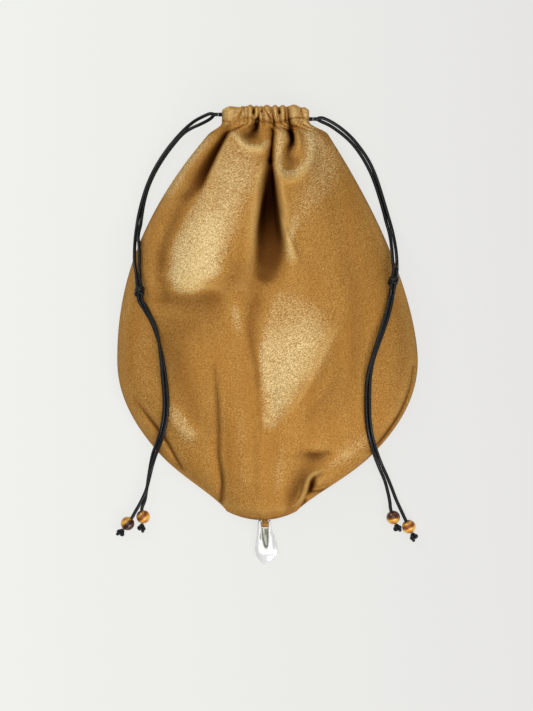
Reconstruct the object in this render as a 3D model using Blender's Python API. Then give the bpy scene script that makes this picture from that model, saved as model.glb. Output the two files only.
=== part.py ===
"""A potli bag: a gold satin pouch gathered on two black drawcords, lying on its back.

All sizes below are in millimetres. X runs across the bag, Y from its bottom to
its mouth and Z up. The origin is on the floor, under the back panel.
"""

import math

import bmesh
import bpy
import numpy as np
from mathutils import Matrix, Vector

MM = 0.001  # metres in a millimetre

# Cloth
WALL = 1.1  # one layer of interlined satin
SEAM_GAP = 0.4  # between the two panels along their seam
CLEAR = 0.3  # between pieces that touch

# Body of the bag
BODY_BOTTOM = -104.4
WIDEST = -11.6
STITCH = 126.4  # the stitched lower edge of the casing
BELLY_HALF = 87.0
BOTTOM_HALF = 20.0
BOTTOM_LEAN = -3.4  # the bottom edge sits a little to the left
LEFT_SHOULDER = 27.5
RIGHT_SHOULDER = 30.0
LEFT_SHOULDER_CURVE = 2.14
RIGHT_SHOULDER_CURVE = 1.62
FLANK_CURVE = 2.10
FLANK_ROUND = 1.20
BOTTOM_BOW = 4.9  # the bottom seam's ends are this much higher than its middle
BOW_REACH = 40.0  # and the rows above it straighten out over this height
NECK_BLEND = 7.0  # how far below the casing the body takes its own section
RUFFLE_FADE = 15.0  # how far below the casing its ruffles fade out

# Height of the side seam and of the crown above the floor, from bottom to casing
SEAM_HEIGHTS = ((-104.4, 4.6), (-60.0, 5.2), (0.0, 6.5), (60.0, 7.5), (126.4, 10.5))
CROWN_HEIGHTS = ((-104.4, 5.6), (-101.0, 9.6), (-92.0, 14.2), (-60.0, 21.5), (-11.6, 26.5),
                 (45.0, 28.5), (90.0, 26.0), (112.0, 21.5), (126.4, 18.5))
REST_EDGE = 0.62  # share of the half-width that lies flat on the floor

# Casing: the top hem of each panel, turned in to hold the drawcords
CASING_TOP = 135.2
CASING_DROP = 1.6  # how much lower its ends are than its middle
CASING_LEFT = -20.0  # centres of its two round ends
CASING_RIGHT = 17.7
CASING_MIDDLE = 10.5  # height of the mouth above the floor
CASING_RADIUS = 6.0
CASING_OPENING = math.radians(40.0)  # where each panel's casing ends, for the cords
TUNNEL_HALF = 1.85  # from the cords' middle to the middle of the cloth
TUNNEL_SLACK = 1.5  # more room on the mouth side near the ends
HEM_FOOT = 124.9  # lower edge of the turned-in hem

# Drawcords
CORD = 2.0
CORD_SIDES = 2  # bevel resolution
CORD_STEP = 5.4  # between points along a cord
LEFT_CORD_LEVEL = 131.0
RIGHT_CORD_LEVEL = 128.4
UTURN_RADIUS = 5.0
CORD_EXIT = 8.6  # the casing stretch ends this far past the casing's end centre
EXIT_SPREAD = 2.0  # half the distance between a cord's two ends as they leave

# Beads, knots and pendant
BEAD = 8.0
BEAD_BORE = CORD + 2 * CLEAR
BEAD_HEIGHT = BEAD / 2
KNOT_LENGTH = 7.4
KNOT_RADIUS = 2.9
STOPPER_LENGTH = 3.4
STOPPER_RADIUS = 1.75
TAIL_LENGTH = 1.8

PENDANT_X = -0.6
PENDANT_TOP = 2.5  # how far the prongs reach past the crossbar
PENDANT_LENGTH = 23.0  # from the crossbar to the tip
PENDANT_HALF = 6.95
PENDANT_THICK = 4.6
CROSSBAR = 1.2
PIVOT_DROP = 3.0  # from the bag's bottom edge to the crossbar
PENDANT_TILT = math.radians(7.5)  # it hangs down from its crossbar to the floor
TAB_WIDTH = 3.7
TAB_CLOTH = 0.8
TAB_TUCK = 4.0  # how far the tab goes in between the panels
TAB_MEET = 2.2  # above the crossbar, where the tab's two layers come together
PRONG_WIDTH = 1.75
PRONG_THICK = 1.5  # half of a prong's depth
PRONG_ROOT = 1.6  # how far each prong reaches into the drop
PENDANT_WIDEST = 0.68  # share of the drop's height where it is widest
PENDANT_TIP = 0.9  # half-width of its blunt tip
HOLLOW_DEPTH = 0.9  # of the groove down its front and back

# How the two strands lie beside each other in a knot, in cord widths
STRAND_APART = 0.54
STRAND_TILT = 0.16

# Finishes, as (roughness, metallic)
SATIN_FINISH = (0.42, 0.5)
CORD_FINISH = (0.45, 0.0)
KNOT_FINISH = (0.5, 0.0)
STONE_FINISH = (0.12, 0.0)
SILVER_FINISH = (0.12, 1.0)
SMOOTH_ANGLE = math.radians(50)

# Free stretches of cord, as (x, y, z) of their middle line, from the casing to the knot
LEFT_UPPER_A = ((-33.4, 131.4, 12.0), (-37.6, 129.8, 10.6), (-42.6, 127.2, 8.4), (-48.0, 123.0, 5.8),
                (-54.0, 116.8, 3.8), (-60.0, 109.2, 3.2), (-65.6, 100.2, 3.2), (-69.9, 91.0, 3.2),
                (-73.0, 81.6, 3.2), (-75.2, 72.6, 3.4), (-76.4, 64.8, 5.0), (-77.0, 58.4, 8.4),
                (-77.2, 51.4, 12.8), (-77.0, 44.6, 16.4), (-76.0, 38.4, 19.4))
LEFT_UPPER_B = ((-33.0, 128.9, 7.0), (-37.6, 126.4, 5.0), (-43.0, 123.8, 2.8), (-48.4, 120.2, 1.4),
                (-55.0, 113.4, 1.1), (-60.6, 106.1, 1.1), (-65.6, 97.8, 1.1), (-69.7, 88.4, 1.1),
                (-72.0, 78.8, 1.3), (-72.9, 70.0, 2.8), (-73.9, 62.6, 8.0), (-74.0, 56.0, 14.4),
                (-73.4, 49.6, 17.2), (-72.9, 43.8, 18.7), (-72.6, 38.2, 20.4))
LEFT_LOWER_A = ((-73.0, 20.2, 20.9), (-70.0, 15.4, 21.8), (-67.0, 10.2, 22.8), (-64.7, 4.6, 23.4),
                (-62.7, -1.6, 23.7), (-60.9, -9.0, 23.7), (-59.3, -18.0, 23.6), (-58.0, -28.0, 23.0),
                (-57.6, -37.0, 21.9), (-58.4, -46.0, 20.1), (-60.2, -54.0, 17.4), (-62.6, -61.0, 13.5),
                (-65.2, -67.4, 8.8), (-67.2, -73.6, 5.4), (-68.8, -80.0, 4.6), (-70.8, -87.6, 5.6),
                (-74.0, -94.6, 4.8), (-77.4, -100.6, 4.1))
LEFT_LOWER_B = ((-70.2, 20.4, 22.4), (-67.9, 15.0, 23.8), (-65.4, 10.0, 25.0), (-63.6, 4.2, 25.8),
                (-62.4, -2.6, 26.1), (-61.7, -10.6, 26.1), (-61.0, -19.4, 25.0), (-60.4, -28.0, 23.2),
                (-60.4, -37.0, 21.5), (-61.4, -45.4, 19.5), (-63.2, -52.6, 16.4), (-65.4, -58.8, 13.0),
                (-67.6, -64.6, 7.8), (-68.8, -71.0, 2.9), (-69.6, -78.0, 1.6), (-70.2, -85.0, 2.6),
                (-71.0, -91.6, 3.5), (-71.8, -97.8, 3.9))
RIGHT_UPPER_A = ((31.6, 129.0, 11.8), (37.1, 126.8, 9.6), (43.0, 123.1, 7.0), (49.0, 118.0, 4.6),
                 (54.2, 111.8, 3.4), (59.0, 104.6, 3.2), (62.8, 96.4, 3.2), (65.8, 87.6, 3.2),
                 (68.2, 79.6, 3.3), (70.6, 71.4, 3.7), (72.6, 64.0, 5.8), (73.9, 57.0, 9.6),
                 (74.7, 50.4, 13.4), (75.0, 43.6, 16.2))
RIGHT_UPPER_B = ((30.9, 127.3, 6.6), (36.2, 124.8, 4.4), (42.0, 120.6, 2.4), (47.6, 115.2, 1.1),
                 (52.4, 108.8, 1.1), (57.0, 101.2, 1.1), (60.8, 93.0, 1.1), (63.7, 84.8, 1.1),
                 (66.1, 77.0, 1.4), (67.9, 69.8, 3.0), (69.4, 63.0, 7.2), (70.4, 56.6, 11.8),
                 (70.9, 50.2, 15.2), (71.4, 43.6, 17.6))
RIGHT_LOWER_A = ((72.6, 26.0, 19.0), (71.4, 19.6, 20.3), (69.6, 13.0, 21.4), (67.4, 6.4, 22.3),
                 (65.0, -0.2, 23.0), (62.6, -6.8, 23.4), (60.6, -13.6, 23.5), (59.4, -21.0, 23.3),
                 (58.9, -29.0, 22.7), (58.9, -37.4, 21.6), (59.2, -45.4, 20.0), (60.2, -53.0, 17.8),
                 (62.0, -60.2, 13.9), (64.2, -66.8, 8.8), (66.8, -73.2, 5.2), (69.8, -79.8, 4.2),
                 (72.4, -86.2, 4.0), (75.0, -93.0, 4.0), (78.2, -100.0, 4.0))
RIGHT_LOWER_B = ((70.0, 25.4, 20.5), (68.6, 19.0, 21.8), (66.8, 12.4, 23.0), (64.8, 6.0, 24.1),
                 (62.8, -0.4, 25.3), (60.8, -6.9, 25.9), (59.0, -13.6, 25.7), (57.2, -20.8, 24.7),
                 (56.2, -29.0, 23.5), (56.1, -37.4, 22.3), (56.4, -45.6, 20.8), (57.6, -53.6, 18.6),
                 (59.4, -61.2, 14.9), (61.8, -68.2, 9.4), (64.2, -75.0, 5.4), (66.8, -82.0, 3.6),
                 (68.8, -89.0, 3.6), (70.6, -95.4, 3.9))

# Middle of each knot and bead, with the way its cord runs through it
LEFT_KNOT = ((-73.9, 28.6, 22.3), (0.10, -0.99, 0.0))
RIGHT_KNOT = ((72.9, 34.8, 21.4), (-0.14, -0.985, 0.0))
LEFT_BEADS = (((-81.6, -107.0), (-0.60, -0.80)), ((-72.5, -103.0), (-0.15, -0.989)))
RIGHT_BEADS = (((82.4, -108.8), (0.44, -0.898)), ((73.3, -103.4), (0.36, -0.933)))

# Folds of the front: route (x, y), rise at its two ends, half-width towards -X and +X
FRONT_FOLDS = (
    (((-22, 122), (-32, 106), (-44, 86), (-54, 58)), 2.2, 0.8, 4.0, 5.0),
    (((-15, 125), (-25, 107), (-36, 86), (-47, 63), (-59, 30)), -4.2, -1.2, 4.5, 2.0),
    (((-7, 125), (-6, 119)), -3.6, -2.4, 2.4, 2.4),
    (((-19, 121), (-11, 112), (0, 114)), 2.2, 1.2, 2.6, 2.6),
    (((-17, 104), (-26, 76), (-34, 46), (-45, 14)), 2.6, 1.4, 7.0, 9.0),
    (((3, 125), (1.5, 101), (2.5, 80), (4, 62), (5, 42)), -4.2, -1.6, 3.2, 3.4),
    (((6, 98), (10, 82), (15, 66), (18, 46)), 2.4, 0.8, 2.6, 6.0),
    (((13, 126), (14, 104)), -3.8, -1.4, 2.0, 2.0),
    (((4, 94), (14, 92), (24, 101)), 1.6, 1.0, 3.0, 3.0),
    (((34, 100), (46, 66), (50, 30)), -1.6, -0.8, 7.0, 7.0),
    (((-4, 14), (20, -6), (16, -46)), 1.8, 0.6, 12.0, 14.0),
    (((-28, -26), (-27, -60), (-26, -94)), 1.2, 1.4, 2.4, 4.0),
    (((-68, -40), (-60, -58), (-50, -74)), -1.4, -1.6, 4.0, 2.6),
    (((38, -62), (34, -74), (22, -92)), 2.0, 1.6, 3.6, 3.2),
    (((30, -76), (25, -85), (21, -93)), -2.2, -1.4, 3.0, 2.4),
    (((2, -34), (3, -60)), -0.9, -0.6, 4.0, 4.0),
)
# Ridges of the gathered casing, as (x, rise, half-width)
FRONT_RUFFLES = ((-23.0, 1.2, 1.8), (-17.6, 2.8, 2.7), (-11.2, 2.0, 1.6), (-6.4, 2.4, 1.5),
                 (-1.6, 1.7, 1.4), (2.6, 2.3, 1.5), (7.6, 2.0, 1.6), (12.0, 1.5, 1.3),
                 (16.6, 2.9, 2.1), (21.4, 1.6, 1.4))
BACK_RUFFLES = ((-20.0, 0.9, 2.2), (-12.5, 0.8, 2.0), (-5.5, 1.0, 2.0), (2.0, 0.8, 2.0),
                (9.5, 1.0, 2.2), (17.0, 0.9, 2.0))

# Grid of each panel
FRONT_COLUMNS = 40
BACK_COLUMNS = 24
FRONT_ROWS = (0.0, 1.6, 4.4, 8.6, 14.0, 20.5, 28.0, 38.0, 50.0, 64.0, 80.0, 96.0, 112.0, 128.0, 143.0,
              156.0, 168.0, 179.0, 189.0, 198.0, 206.0, 213.0, 219.0, 224.0, 228.0)
BACK_ROWS = (0.0, 1.6, 4.4, 8.6, 16.0, 28.0, 45.0, 68.0, 95.0, 122.0, 148.0, 170.0, 188.0, 203.0,
             214.0, 222.0, 228.0)

# Outer face of the casing, as (height above the stitching, share of the ruffle), and its lining
CASING_ROWS = ((0.0, 0.8), (2.6, 1.0), (5.2, 1.0))
FOLD_STEPS = 4
LINING_ROWS = (4.4, 0.8)

BEAD_STEPS = 10
BEAD_SIDES = 20
LUMP_SIDES = 14
PENDANT_ROWS = 18
PENDANT_COLUMNS = 16

GOLD = (0.50, 0.28, 0.075)
BLACK = (0.012, 0.012, 0.014)
AMBER = (0.28, 0.11, 0.02)
SILVER = (0.72, 0.73, 0.75)


def smooth_step(t):
    t = np.clip(t, 0.0, 1.0)
    return t * t * (3.0 - 2.0 * t)


def through(points, x):
    """Value at x of a smooth curve through (x, value) points."""
    xs, ys = np.array(points, float).T
    slopes = np.gradient(ys, xs)
    i = int(np.clip(np.searchsorted(xs, x) - 1, 0, len(xs) - 2))
    step = xs[i + 1] - xs[i]
    t = float(np.clip((x - xs[i]) / step, 0.0, 1.0))
    return (ys[i] * (1 + 2 * t) * (1 - t) ** 2 + ys[i + 1] * t * t * (3 - 2 * t)
            + step * slopes[i] * t * (1 - t) ** 2 - step * slopes[i + 1] * t * t * (1 - t))


def curve_points(route, step):
    """Points about a step apart on a smooth curve through a route's own points."""
    route = [Vector(p) for p in route]
    ends = [2 * route[0] - route[1]] + route + [2 * route[-1] - route[-2]]
    out = [route[0]]
    for before, a, b, after in zip(ends, ends[1:], ends[2:], ends[3:]):
        count = max(1, round((b - a).length / step))
        for i in range(1, count + 1):
            t = i / count
            out.append(0.5 * (2 * a + (b - before) * t + (2 * before - 5 * a + 4 * b - after) * t ** 2
                              + (3 * a - before - 3 * b + after) * t ** 3))
    return out


def half_widths(y):
    """Distance from X = 0 to the left and right edges of the body at a height y."""
    if y >= WIDEST:
        t = (STITCH - y) / (STITCH - WIDEST)
        left = LEFT_SHOULDER + (BELLY_HALF - LEFT_SHOULDER) * (1 - (1 - t) ** LEFT_SHOULDER_CURVE)
        right = RIGHT_SHOULDER + (BELLY_HALF - RIGHT_SHOULDER) * (1 - (1 - t) ** RIGHT_SHOULDER_CURVE)
        return left, right
    t = (WIDEST - y) / (WIDEST - BODY_BOTTOM)
    half = BOTTOM_HALF + (BELLY_HALF - BOTTOM_HALF) * max(0.0, 1 - t ** FLANK_CURVE) ** FLANK_ROUND
    return half - BOTTOM_LEAN * t ** 3, half + BOTTOM_LEAN * t ** 3


def fold_rise(x, y, folds):
    """Height that the named folds add at a point of a panel."""
    rise = 0.0
    for route, first, last, left, right in folds:
        best = None
        pieces = len(route) - 1
        for i in range(pieces):
            a, b = Vector(route[i]), Vector(route[i + 1])
            along = b - a
            t = min(1.0, max(0.0, (Vector((x, y)) - a).dot(along) / along.length_squared))
            near = a + along * t
            gap = (Vector((x, y)) - near).length
            if best is None or gap < best[0]:
                side = along.x * (y - near.y) - along.y * (x - near.x)
                best = (gap, side, (i + t) / pieces)
        gap, side, share = best
        down = route[-1][1] < route[0][1]
        width = left if (side < 0) == down else right
        rise += (first + (last - first) * share) * math.exp(-(gap / width) ** 2)
    return rise


def ruffle_rise(x, ruffles):
    return max(rise * math.exp(-((x - at) / half) ** 2) for at, rise, half in ruffles)


def casing_point(share, offset):
    """Point (x, height above the mouth) on half of the casing's oval, right to left."""
    arc = CASING_RADIUS * (math.pi / 2 - CASING_OPENING)
    straight = CASING_RIGHT - CASING_LEFT
    along = share * (2 * arc + straight)
    radius = CASING_RADIUS + offset
    if along < arc:
        turn = CASING_OPENING + along / CASING_RADIUS
        return CASING_RIGHT + radius * math.cos(turn), radius * math.sin(turn)
    if along > arc + straight:
        turn = math.pi / 2 + (along - arc - straight) / CASING_RADIUS
        return CASING_LEFT + radius * math.cos(turn), radius * math.sin(turn)
    return CASING_RIGHT - (along - arc), radius


def body_point(share, y, side, folds):
    """Middle of the cloth at a share of the way round a body row; side is 1 on the front."""
    left, right = half_widths(y)
    turn = math.pi * share
    x = (right - left) / 2 + (right + left) / 2 * math.cos(turn)
    seam = through(SEAM_HEIGHTS, y)
    open_half = (SEAM_GAP + WALL) / 2
    bottom = smooth_step((y - BODY_BOTTOM) / 8.0)
    tab = (1 - bottom) * (TAB_CLOTH + CLEAR) * math.exp(-((x - PENDANT_X) / (0.9 * TAB_WIDTH)) ** 4)
    if side > 0:
        crown = through(CROWN_HEIGHTS, y)
        rise = (crown - seam) * math.sin(turn) + fold_rise(x, y, folds) * math.sin(turn) ** 0.7 * bottom
        return x, seam + open_half + tab + rise
    floor = WALL / 2
    drop = (seam - open_half - tab - floor) / math.sqrt(1 - REST_EDGE ** 2)
    low = seam - open_half - tab - drop * math.sin(turn) * smooth_step(2.5 * math.sin(turn)) * bottom
    return x, max(floor, low)


def panel(name, side, columns, rows, ruffles, folds, colour):
    """One sewn panel: its body from the bottom seam up, then the casing turned over inwards."""
    lines = []
    for distance in rows:
        y = BODY_BOTTOM + distance
        line = []
        for j in range(columns + 1):
            share = j / columns
            x, z = body_point(share, y, side, folds)
            blend = float(smooth_step((STITCH - y) / NECK_BLEND))
            cx, cz = casing_point(share, TUNNEL_HALF)
            ruffle = ruffle_rise(cx, ruffles) * (1 - float(smooth_step((STITCH - y) / RUFFLE_FADE)))
            lift = cz + fold_rise(cx, y, folds) * math.sin(math.pi * share) * 0.5 + ruffle * 0.8
            casing_z = CASING_MIDDLE + side * lift
            bow = BOTTOM_BOW * (1 - smooth_step(distance / BOW_REACH)) * math.cos(math.pi * share) ** 2
            line.append((cx + (x - cx) * blend, y + bow, casing_z + (z - casing_z) * blend))
        lines.append(line)
    hem = [(STITCH + height, 0.0, ruffled) for height, ruffled in CASING_ROWS]
    for i in range(FOLD_STEPS + 1):
        turn = math.pi * i / FOLD_STEPS
        hem.append((CASING_TOP - TUNNEL_HALF + TUNNEL_HALF * math.sin(turn),
                    1 - math.cos(turn), 0.5 * (1 + math.cos(turn))))
    hem += [(STITCH + height, 2.0, -0.25) for height in LINING_ROWS]
    hem += [(HEM_FOOT + 0.8, 1.1, 0.0), (HEM_FOOT, (WALL + CLEAR + 0.1) / TUNNEL_HALF, 0.0)]
    for y, inwards, ruffled in hem:
        line = []
        for j in range(columns + 1):
            share = j / columns
            end = abs(2 * share - 1) ** 6
            offset = TUNNEL_HALF * (1 - inwards)
            if inwards > 1.0:
                offset -= TUNNEL_SLACK * smooth_step((abs(2 * share - 1) - 0.55) / 0.3) * (inwards - 1)
            x, z = casing_point(share, offset)
            drop = CASING_DROP * end * max(0.0, (y - STITCH) / (CASING_TOP - STITCH))
            lift = z + ruffle_rise(x, ruffles) * ruffled
            line.append((x, y - drop, CASING_MIDDLE + side * lift))
        lines.append(line)
    bm = bmesh.new()
    grid = [[bm.verts.new(Vector(p) * MM) for p in line] for line in lines]
    for low, high in zip(grid, grid[1:]):
        for j in range(columns):
            corners = [low[j], low[j + 1], high[j + 1], high[j]]
            bm.faces.new(corners if side < 0 else corners[::-1])
    piece = finish(name, bm, colour, SATIN_FINISH)
    wall = piece.modifiers.new("wall", "SOLIDIFY")
    wall.thickness = WALL * MM
    wall.offset = 0.0
    wall.use_even_offset = True
    return piece


def finish(name, bm, colour, sheen):
    """An object made of a finished mesh, with its own material."""
    mesh = bpy.data.meshes.new(name)
    bm.to_mesh(mesh)
    bm.free()
    mesh.shade_smooth()
    mesh.set_sharp_from_angle(angle=SMOOTH_ANGLE)
    piece = bpy.data.objects.new(name, mesh)
    bpy.context.collection.objects.link(piece)
    mesh.materials.append(material(name, colour, sheen))
    return piece


def material(name, colour, sheen):
    made = bpy.data.materials.new(name)
    made.use_nodes = True
    shader = made.node_tree.nodes["Principled BSDF"]
    shader.inputs["Base Color"].default_value = (*colour, 1.0)
    shader.inputs["Roughness"].default_value, shader.inputs["Metallic"].default_value = sheen
    return made


def cord(name, points):
    """A stretch of drawcord along points."""
    curve = bpy.data.curves.new(name, "CURVE")
    curve.dimensions = "3D"
    curve.bevel_depth = CORD / 2 * MM
    curve.bevel_resolution = CORD_SIDES
    curve.use_fill_caps = True
    spline = curve.splines.new("POLY")
    spline.points.add(len(points) - 1)
    for point, place in zip(spline.points, points):
        point.co = (*(Vector(place) * MM), 1.0)
    piece = bpy.data.objects.new(name, curve)
    bpy.context.collection.objects.link(piece)
    curve.materials.append(material(name, BLACK, CORD_FINISH))
    return piece


def casing_exit(way):
    centre = CASING_LEFT if way < 0 else CASING_RIGHT
    return centre + way * CORD_EXIT


def cord_in_casing(name, way, level):
    """The stretch inside the casing: out at one end, round the other and back."""
    near = CASING_LEFT if way < 0 else CASING_RIGHT
    far = CASING_RIGHT if way < 0 else CASING_LEFT
    turn = UTURN_RADIUS
    straight = CORD_EXIT - CORD
    top = ((near + way * CORD_EXIT, EXIT_SPREAD), (near + way * straight, EXIT_SPREAD),
           (near + way * 3.6, 2.9), (near + way * 0.6, 4.6),
           (near - way * 4.0, 5.8), (near - way * 10.0, CASING_RADIUS), (far + way * 10.0, CASING_RADIUS),
           (far + way * 3.6, 5.8), (far, turn), (far - way * 0.71 * turn, 0.71 * turn))
    route = [(x, level, CASING_MIDDLE + z) for x, z in top]
    route.append((far - way * turn, level, CASING_MIDDLE))
    route += [(x, level, CASING_MIDDLE - z) for x, z in reversed(top)]
    return cord(name, curve_points(route, CORD_STEP))


def turned(name, at, way, profile, sides, colour, sheen):
    """A piece turned about an axis along way, from (distance, radius) pairs of a closed outline."""
    bm = bmesh.new()
    ring = [bm.verts.new((radius * MM, 0.0, distance * MM)) for distance, radius in profile]
    edges = [bm.edges.new(pair) for pair in zip(ring, ring[1:])]
    if profile[0][1] > 0 and profile[-1][1] > 0:
        edges.append(bm.edges.new((ring[-1], ring[0])))
    bmesh.ops.spin(bm, geom=ring + edges, axis=(0, 0, 1), cent=(0, 0, 0), angle=2 * math.pi,
                   steps=sides, use_merge=True)
    bmesh.ops.remove_doubles(bm, verts=bm.verts, dist=1e-6)
    bmesh.ops.recalc_face_normals(bm, faces=bm.faces)
    piece = finish(name, bm, colour, sheen)
    piece.location = Vector(at) * MM
    piece.rotation_mode = "QUATERNION"
    piece.rotation_quaternion = Vector((0, 0, 1)).rotation_difference(Vector(way))
    return piece


def bead(name, at, way):
    bore, radius = BEAD_BORE / 2, BEAD / 2
    start = math.asin(bore / radius)
    profile = []
    for i in range(BEAD_STEPS + 1):
        turn = start + (math.pi - 2 * start) * i / BEAD_STEPS
        profile.append((-radius * math.cos(turn), radius * math.sin(turn)))
    return turned(name, at, way, profile, BEAD_SIDES, AMBER, STONE_FINISH)


def lump(name, start, way, length, radius, waist, bulges, tail):
    """A tight knot: bulges of cord in a row along way, and a short tail if it has one."""
    profile = [(0.0, 0.0), (0.0, waist * 0.8)]
    steps = 4 * bulges
    for i in range(1, steps):
        share = i / steps
        bulge = abs(math.sin(math.pi * bulges * share)) ** 0.8
        barrel = math.sin(math.pi * share) ** 0.4
        profile.append((length * share, waist * 0.8 + (radius - waist * 0.8) * (0.55 + 0.45 * bulge) * barrel))
    if tail:
        profile += [(length, CORD * 0.45), (length + tail, CORD * 0.42), (length + tail, 0.0)]
    else:
        profile += [(length, waist * 0.8), (length, 0.0)]
    return turned(name, start, way, profile, LUMP_SIDES, BLACK, KNOT_FINISH)


def free_cord(name, start, route, end):
    return cord(name, curve_points([start, *route, end], CORD_STEP))


def drawcord(label, way, level, knot, beads, uppers, lowers):
    """One whole drawcord with its knot, its two beads and their stopper knots."""
    cord_in_casing(f"{label}_cord_in_casing", way, level)
    middle, direction = Vector(knot[0]), Vector(knot[1]).normalized()
    reach = KNOT_LENGTH / 2
    lump(f"{label}_knot", middle - direction * reach, direction, KNOT_LENGTH, KNOT_RADIUS,
         1.15 * CORD, 3, 0.0)
    across = direction.cross(Vector((0, 0, 1))).normalized()
    lift = across.cross(direction)
    out = casing_exit(way) + way * CLEAR
    for i, tag in enumerate("ab"):
        spread = (1 if i == 0 else -1)
        side = across * (STRAND_APART * CORD) * (1 if (i == 0) == (way < 0) else -1)
        tilt = lift * (STRAND_TILT * CORD) * (-spread)
        start = (out, level, CASING_MIDDLE + spread * EXIT_SPREAD)
        leave = (out + way * CORD, level, start[2])
        top = middle - direction * (reach + CLEAR) + side + tilt
        free_cord(f"{label}_cord_upper_{tag}", start, [leave, *uppers[i], top - direction * CORD], top)
        below = middle + direction * (reach + CLEAR) + side + tilt
        (bx, by), (wx, wy) = beads[i]
        at = Vector((bx, by, BEAD_HEIGHT))
        along = Vector((wx, wy, 0.0)).normalized()
        stop = at + along * (BEAD / 2)
        inside = at - along * (BEAD / 2)
        free_cord(f"{label}_cord_lower_{tag}", below, [below + direction * CORD, *lowers[i], inside], stop)
        bead(f"{label}_bead_{tag}", at, along)
        lump(f"{label}_stopper_knot_{tag}", stop + along * CLEAR, along, STOPPER_LENGTH,
             STOPPER_RADIUS, CORD / 2, 2, TAIL_LENGTH)


def outline_solid(name, corners, place, colour, sheen):
    """A solid between x = -half and x = half whose side outline is a list of (y, z)."""
    bm = bmesh.new()
    half = TAB_WIDTH / 2
    face = bm.faces.new([bm.verts.new(Vector((-half, y, z)) * MM) for y, z in corners])
    side = bmesh.ops.extrude_face_region(bm, geom=[face])["geom"]
    moved = [v for v in side if isinstance(v, bmesh.types.BMVert)]
    bmesh.ops.translate(bm, verts=moved, vec=Vector((2 * half, 0, 0)) * MM)
    bmesh.ops.recalc_face_normals(bm, faces=bm.faces)
    piece = finish(name, bm, colour, sheen)
    piece.location = Vector(place) * MM
    return piece


def pendant_tab(pivot):
    """A strip folded round the crossbar, with both ends tucked into the bottom seam."""
    inner = CROSSBAR / 2 + CLEAR
    outer = inner + TAB_CLOTH
    leg_in, leg_out = CLEAR / 2, CLEAR / 2 + TAB_CLOTH
    reach = PIVOT_DROP + TAB_TUCK
    steps = 10
    outline = [(reach, leg_out), (TAB_MEET, leg_out)]
    for i in range(steps + 1):
        turn = math.radians(50) + math.radians(260) * i / steps
        outline.append((outer * math.cos(turn), outer * math.sin(turn)))
    outline += [(TAB_MEET, -leg_out), (reach, -leg_out), (reach, -leg_in), (TAB_MEET, -leg_in)]
    for i in range(steps + 1):
        turn = math.radians(310) - math.radians(260) * i / steps
        outline.append((inner * math.cos(turn), inner * math.sin(turn)))
    outline += [(TAB_MEET, leg_in), (reach, leg_in)]
    return outline_solid("pendant_tab", outline, pivot, GOLD, SATIN_FINISH)


def silver_pendant(pivot):
    """A cast teardrop whose forked top carries the crossbar inside the tab."""
    fork_half = TAB_WIDTH / 2 + CLEAR
    prong_out = fork_half + PRONG_WIDTH
    shoulder = CROSSBAR / 2 + 2 * CLEAR + TAB_CLOTH + 0.5
    bm = bmesh.new()
    rings = []
    for i in range(PENDANT_ROWS + 1):
        share = i / PENDANT_ROWS
        down = shoulder + (PENDANT_LENGTH - shoulder) * share
        if share < PENDANT_WIDEST:
            swell = smooth_step(share / PENDANT_WIDEST)
            half = prong_out + (PENDANT_HALF - prong_out) * swell
        else:
            past = (share - PENDANT_WIDEST) / (1 - PENDANT_WIDEST)
            half = PENDANT_HALF * math.sqrt(max(0.0, 1 - past ** 2))
        half = max(half, PENDANT_TIP)
        deep = PENDANT_THICK / 2 * min(1.0, 0.35 + 0.65 * half / PENDANT_HALF + 0.25 * (1 - share))
        ring = []
        for j in range(PENDANT_COLUMNS):
            turn = 2 * math.pi * j / PENDANT_COLUMNS
            x = half * math.cos(turn)
            hollow = HOLLOW_DEPTH * (1 - float(smooth_step(share / 0.8))) * math.exp(-(x / (0.45 * half)) ** 2)
            z = deep * math.sin(turn)
            z -= hollow * math.copysign(1.0, z) if abs(z) > 1.0 else 0.0
            ring.append(bm.verts.new(Vector((x, -down, z)) * MM))
        rings.append(ring)
    for upper, lower in zip(rings, rings[1:]):
        for j in range(PENDANT_COLUMNS):
            k = (j + 1) % PENDANT_COLUMNS
            bm.faces.new((upper[j], upper[k], lower[k], lower[j]))
    bm.faces.new(rings[0][::-1])
    bm.faces.new(rings[-1])
    bmesh.ops.recalc_face_normals(bm, faces=bm.faces)
    piece = finish("silver_pendant", bm, SILVER, SILVER_FINISH)
    piece.location = Vector(pivot) * MM
    piece.rotation_euler = (PENDANT_TILT, 0.0, 0.0)
    for side in (-1, 1):
        join(piece, prong_solid(pivot, side * (fork_half + PRONG_WIDTH / 2), shoulder))
    join(piece, bar_solid(pivot, fork_half + PRONG_WIDTH / 2))
    return piece


def prong_solid(pivot, x, shoulder):
    """One prong of the fork: a flat bar with a round top about the crossbar."""
    bm = bmesh.new()
    outline = [(-shoulder - PRONG_ROOT, -PRONG_THICK)]
    for i in range(9):
        turn = math.radians(-110) + math.radians(220) * i / 8
        outline.append((PENDANT_TOP * math.cos(turn) * 0.85, 1.9 * math.sin(turn)))
    outline.append((-shoulder - PRONG_ROOT, PRONG_THICK))
    face = bm.faces.new([bm.verts.new(Vector((x - PRONG_WIDTH / 2, y, z)) * MM) for y, z in outline])
    side = bmesh.ops.extrude_face_region(bm, geom=[face])["geom"]
    moved = [v for v in side if isinstance(v, bmesh.types.BMVert)]
    bmesh.ops.translate(bm, verts=moved, vec=Vector((PRONG_WIDTH, 0, 0)) * MM)
    bmesh.ops.recalc_face_normals(bm, faces=bm.faces)
    return cutter("prong", bm, pivot)


def bar_solid(pivot, half):
    bm = bmesh.new()
    bmesh.ops.create_cone(bm, cap_ends=True, segments=12, radius1=CROSSBAR / 2 * MM,
                          radius2=CROSSBAR / 2 * MM, depth=2 * half * MM,
                          matrix=Matrix.Rotation(math.pi / 2, 4, "Y"))
    return cutter("crossbar", bm, pivot)


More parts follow.
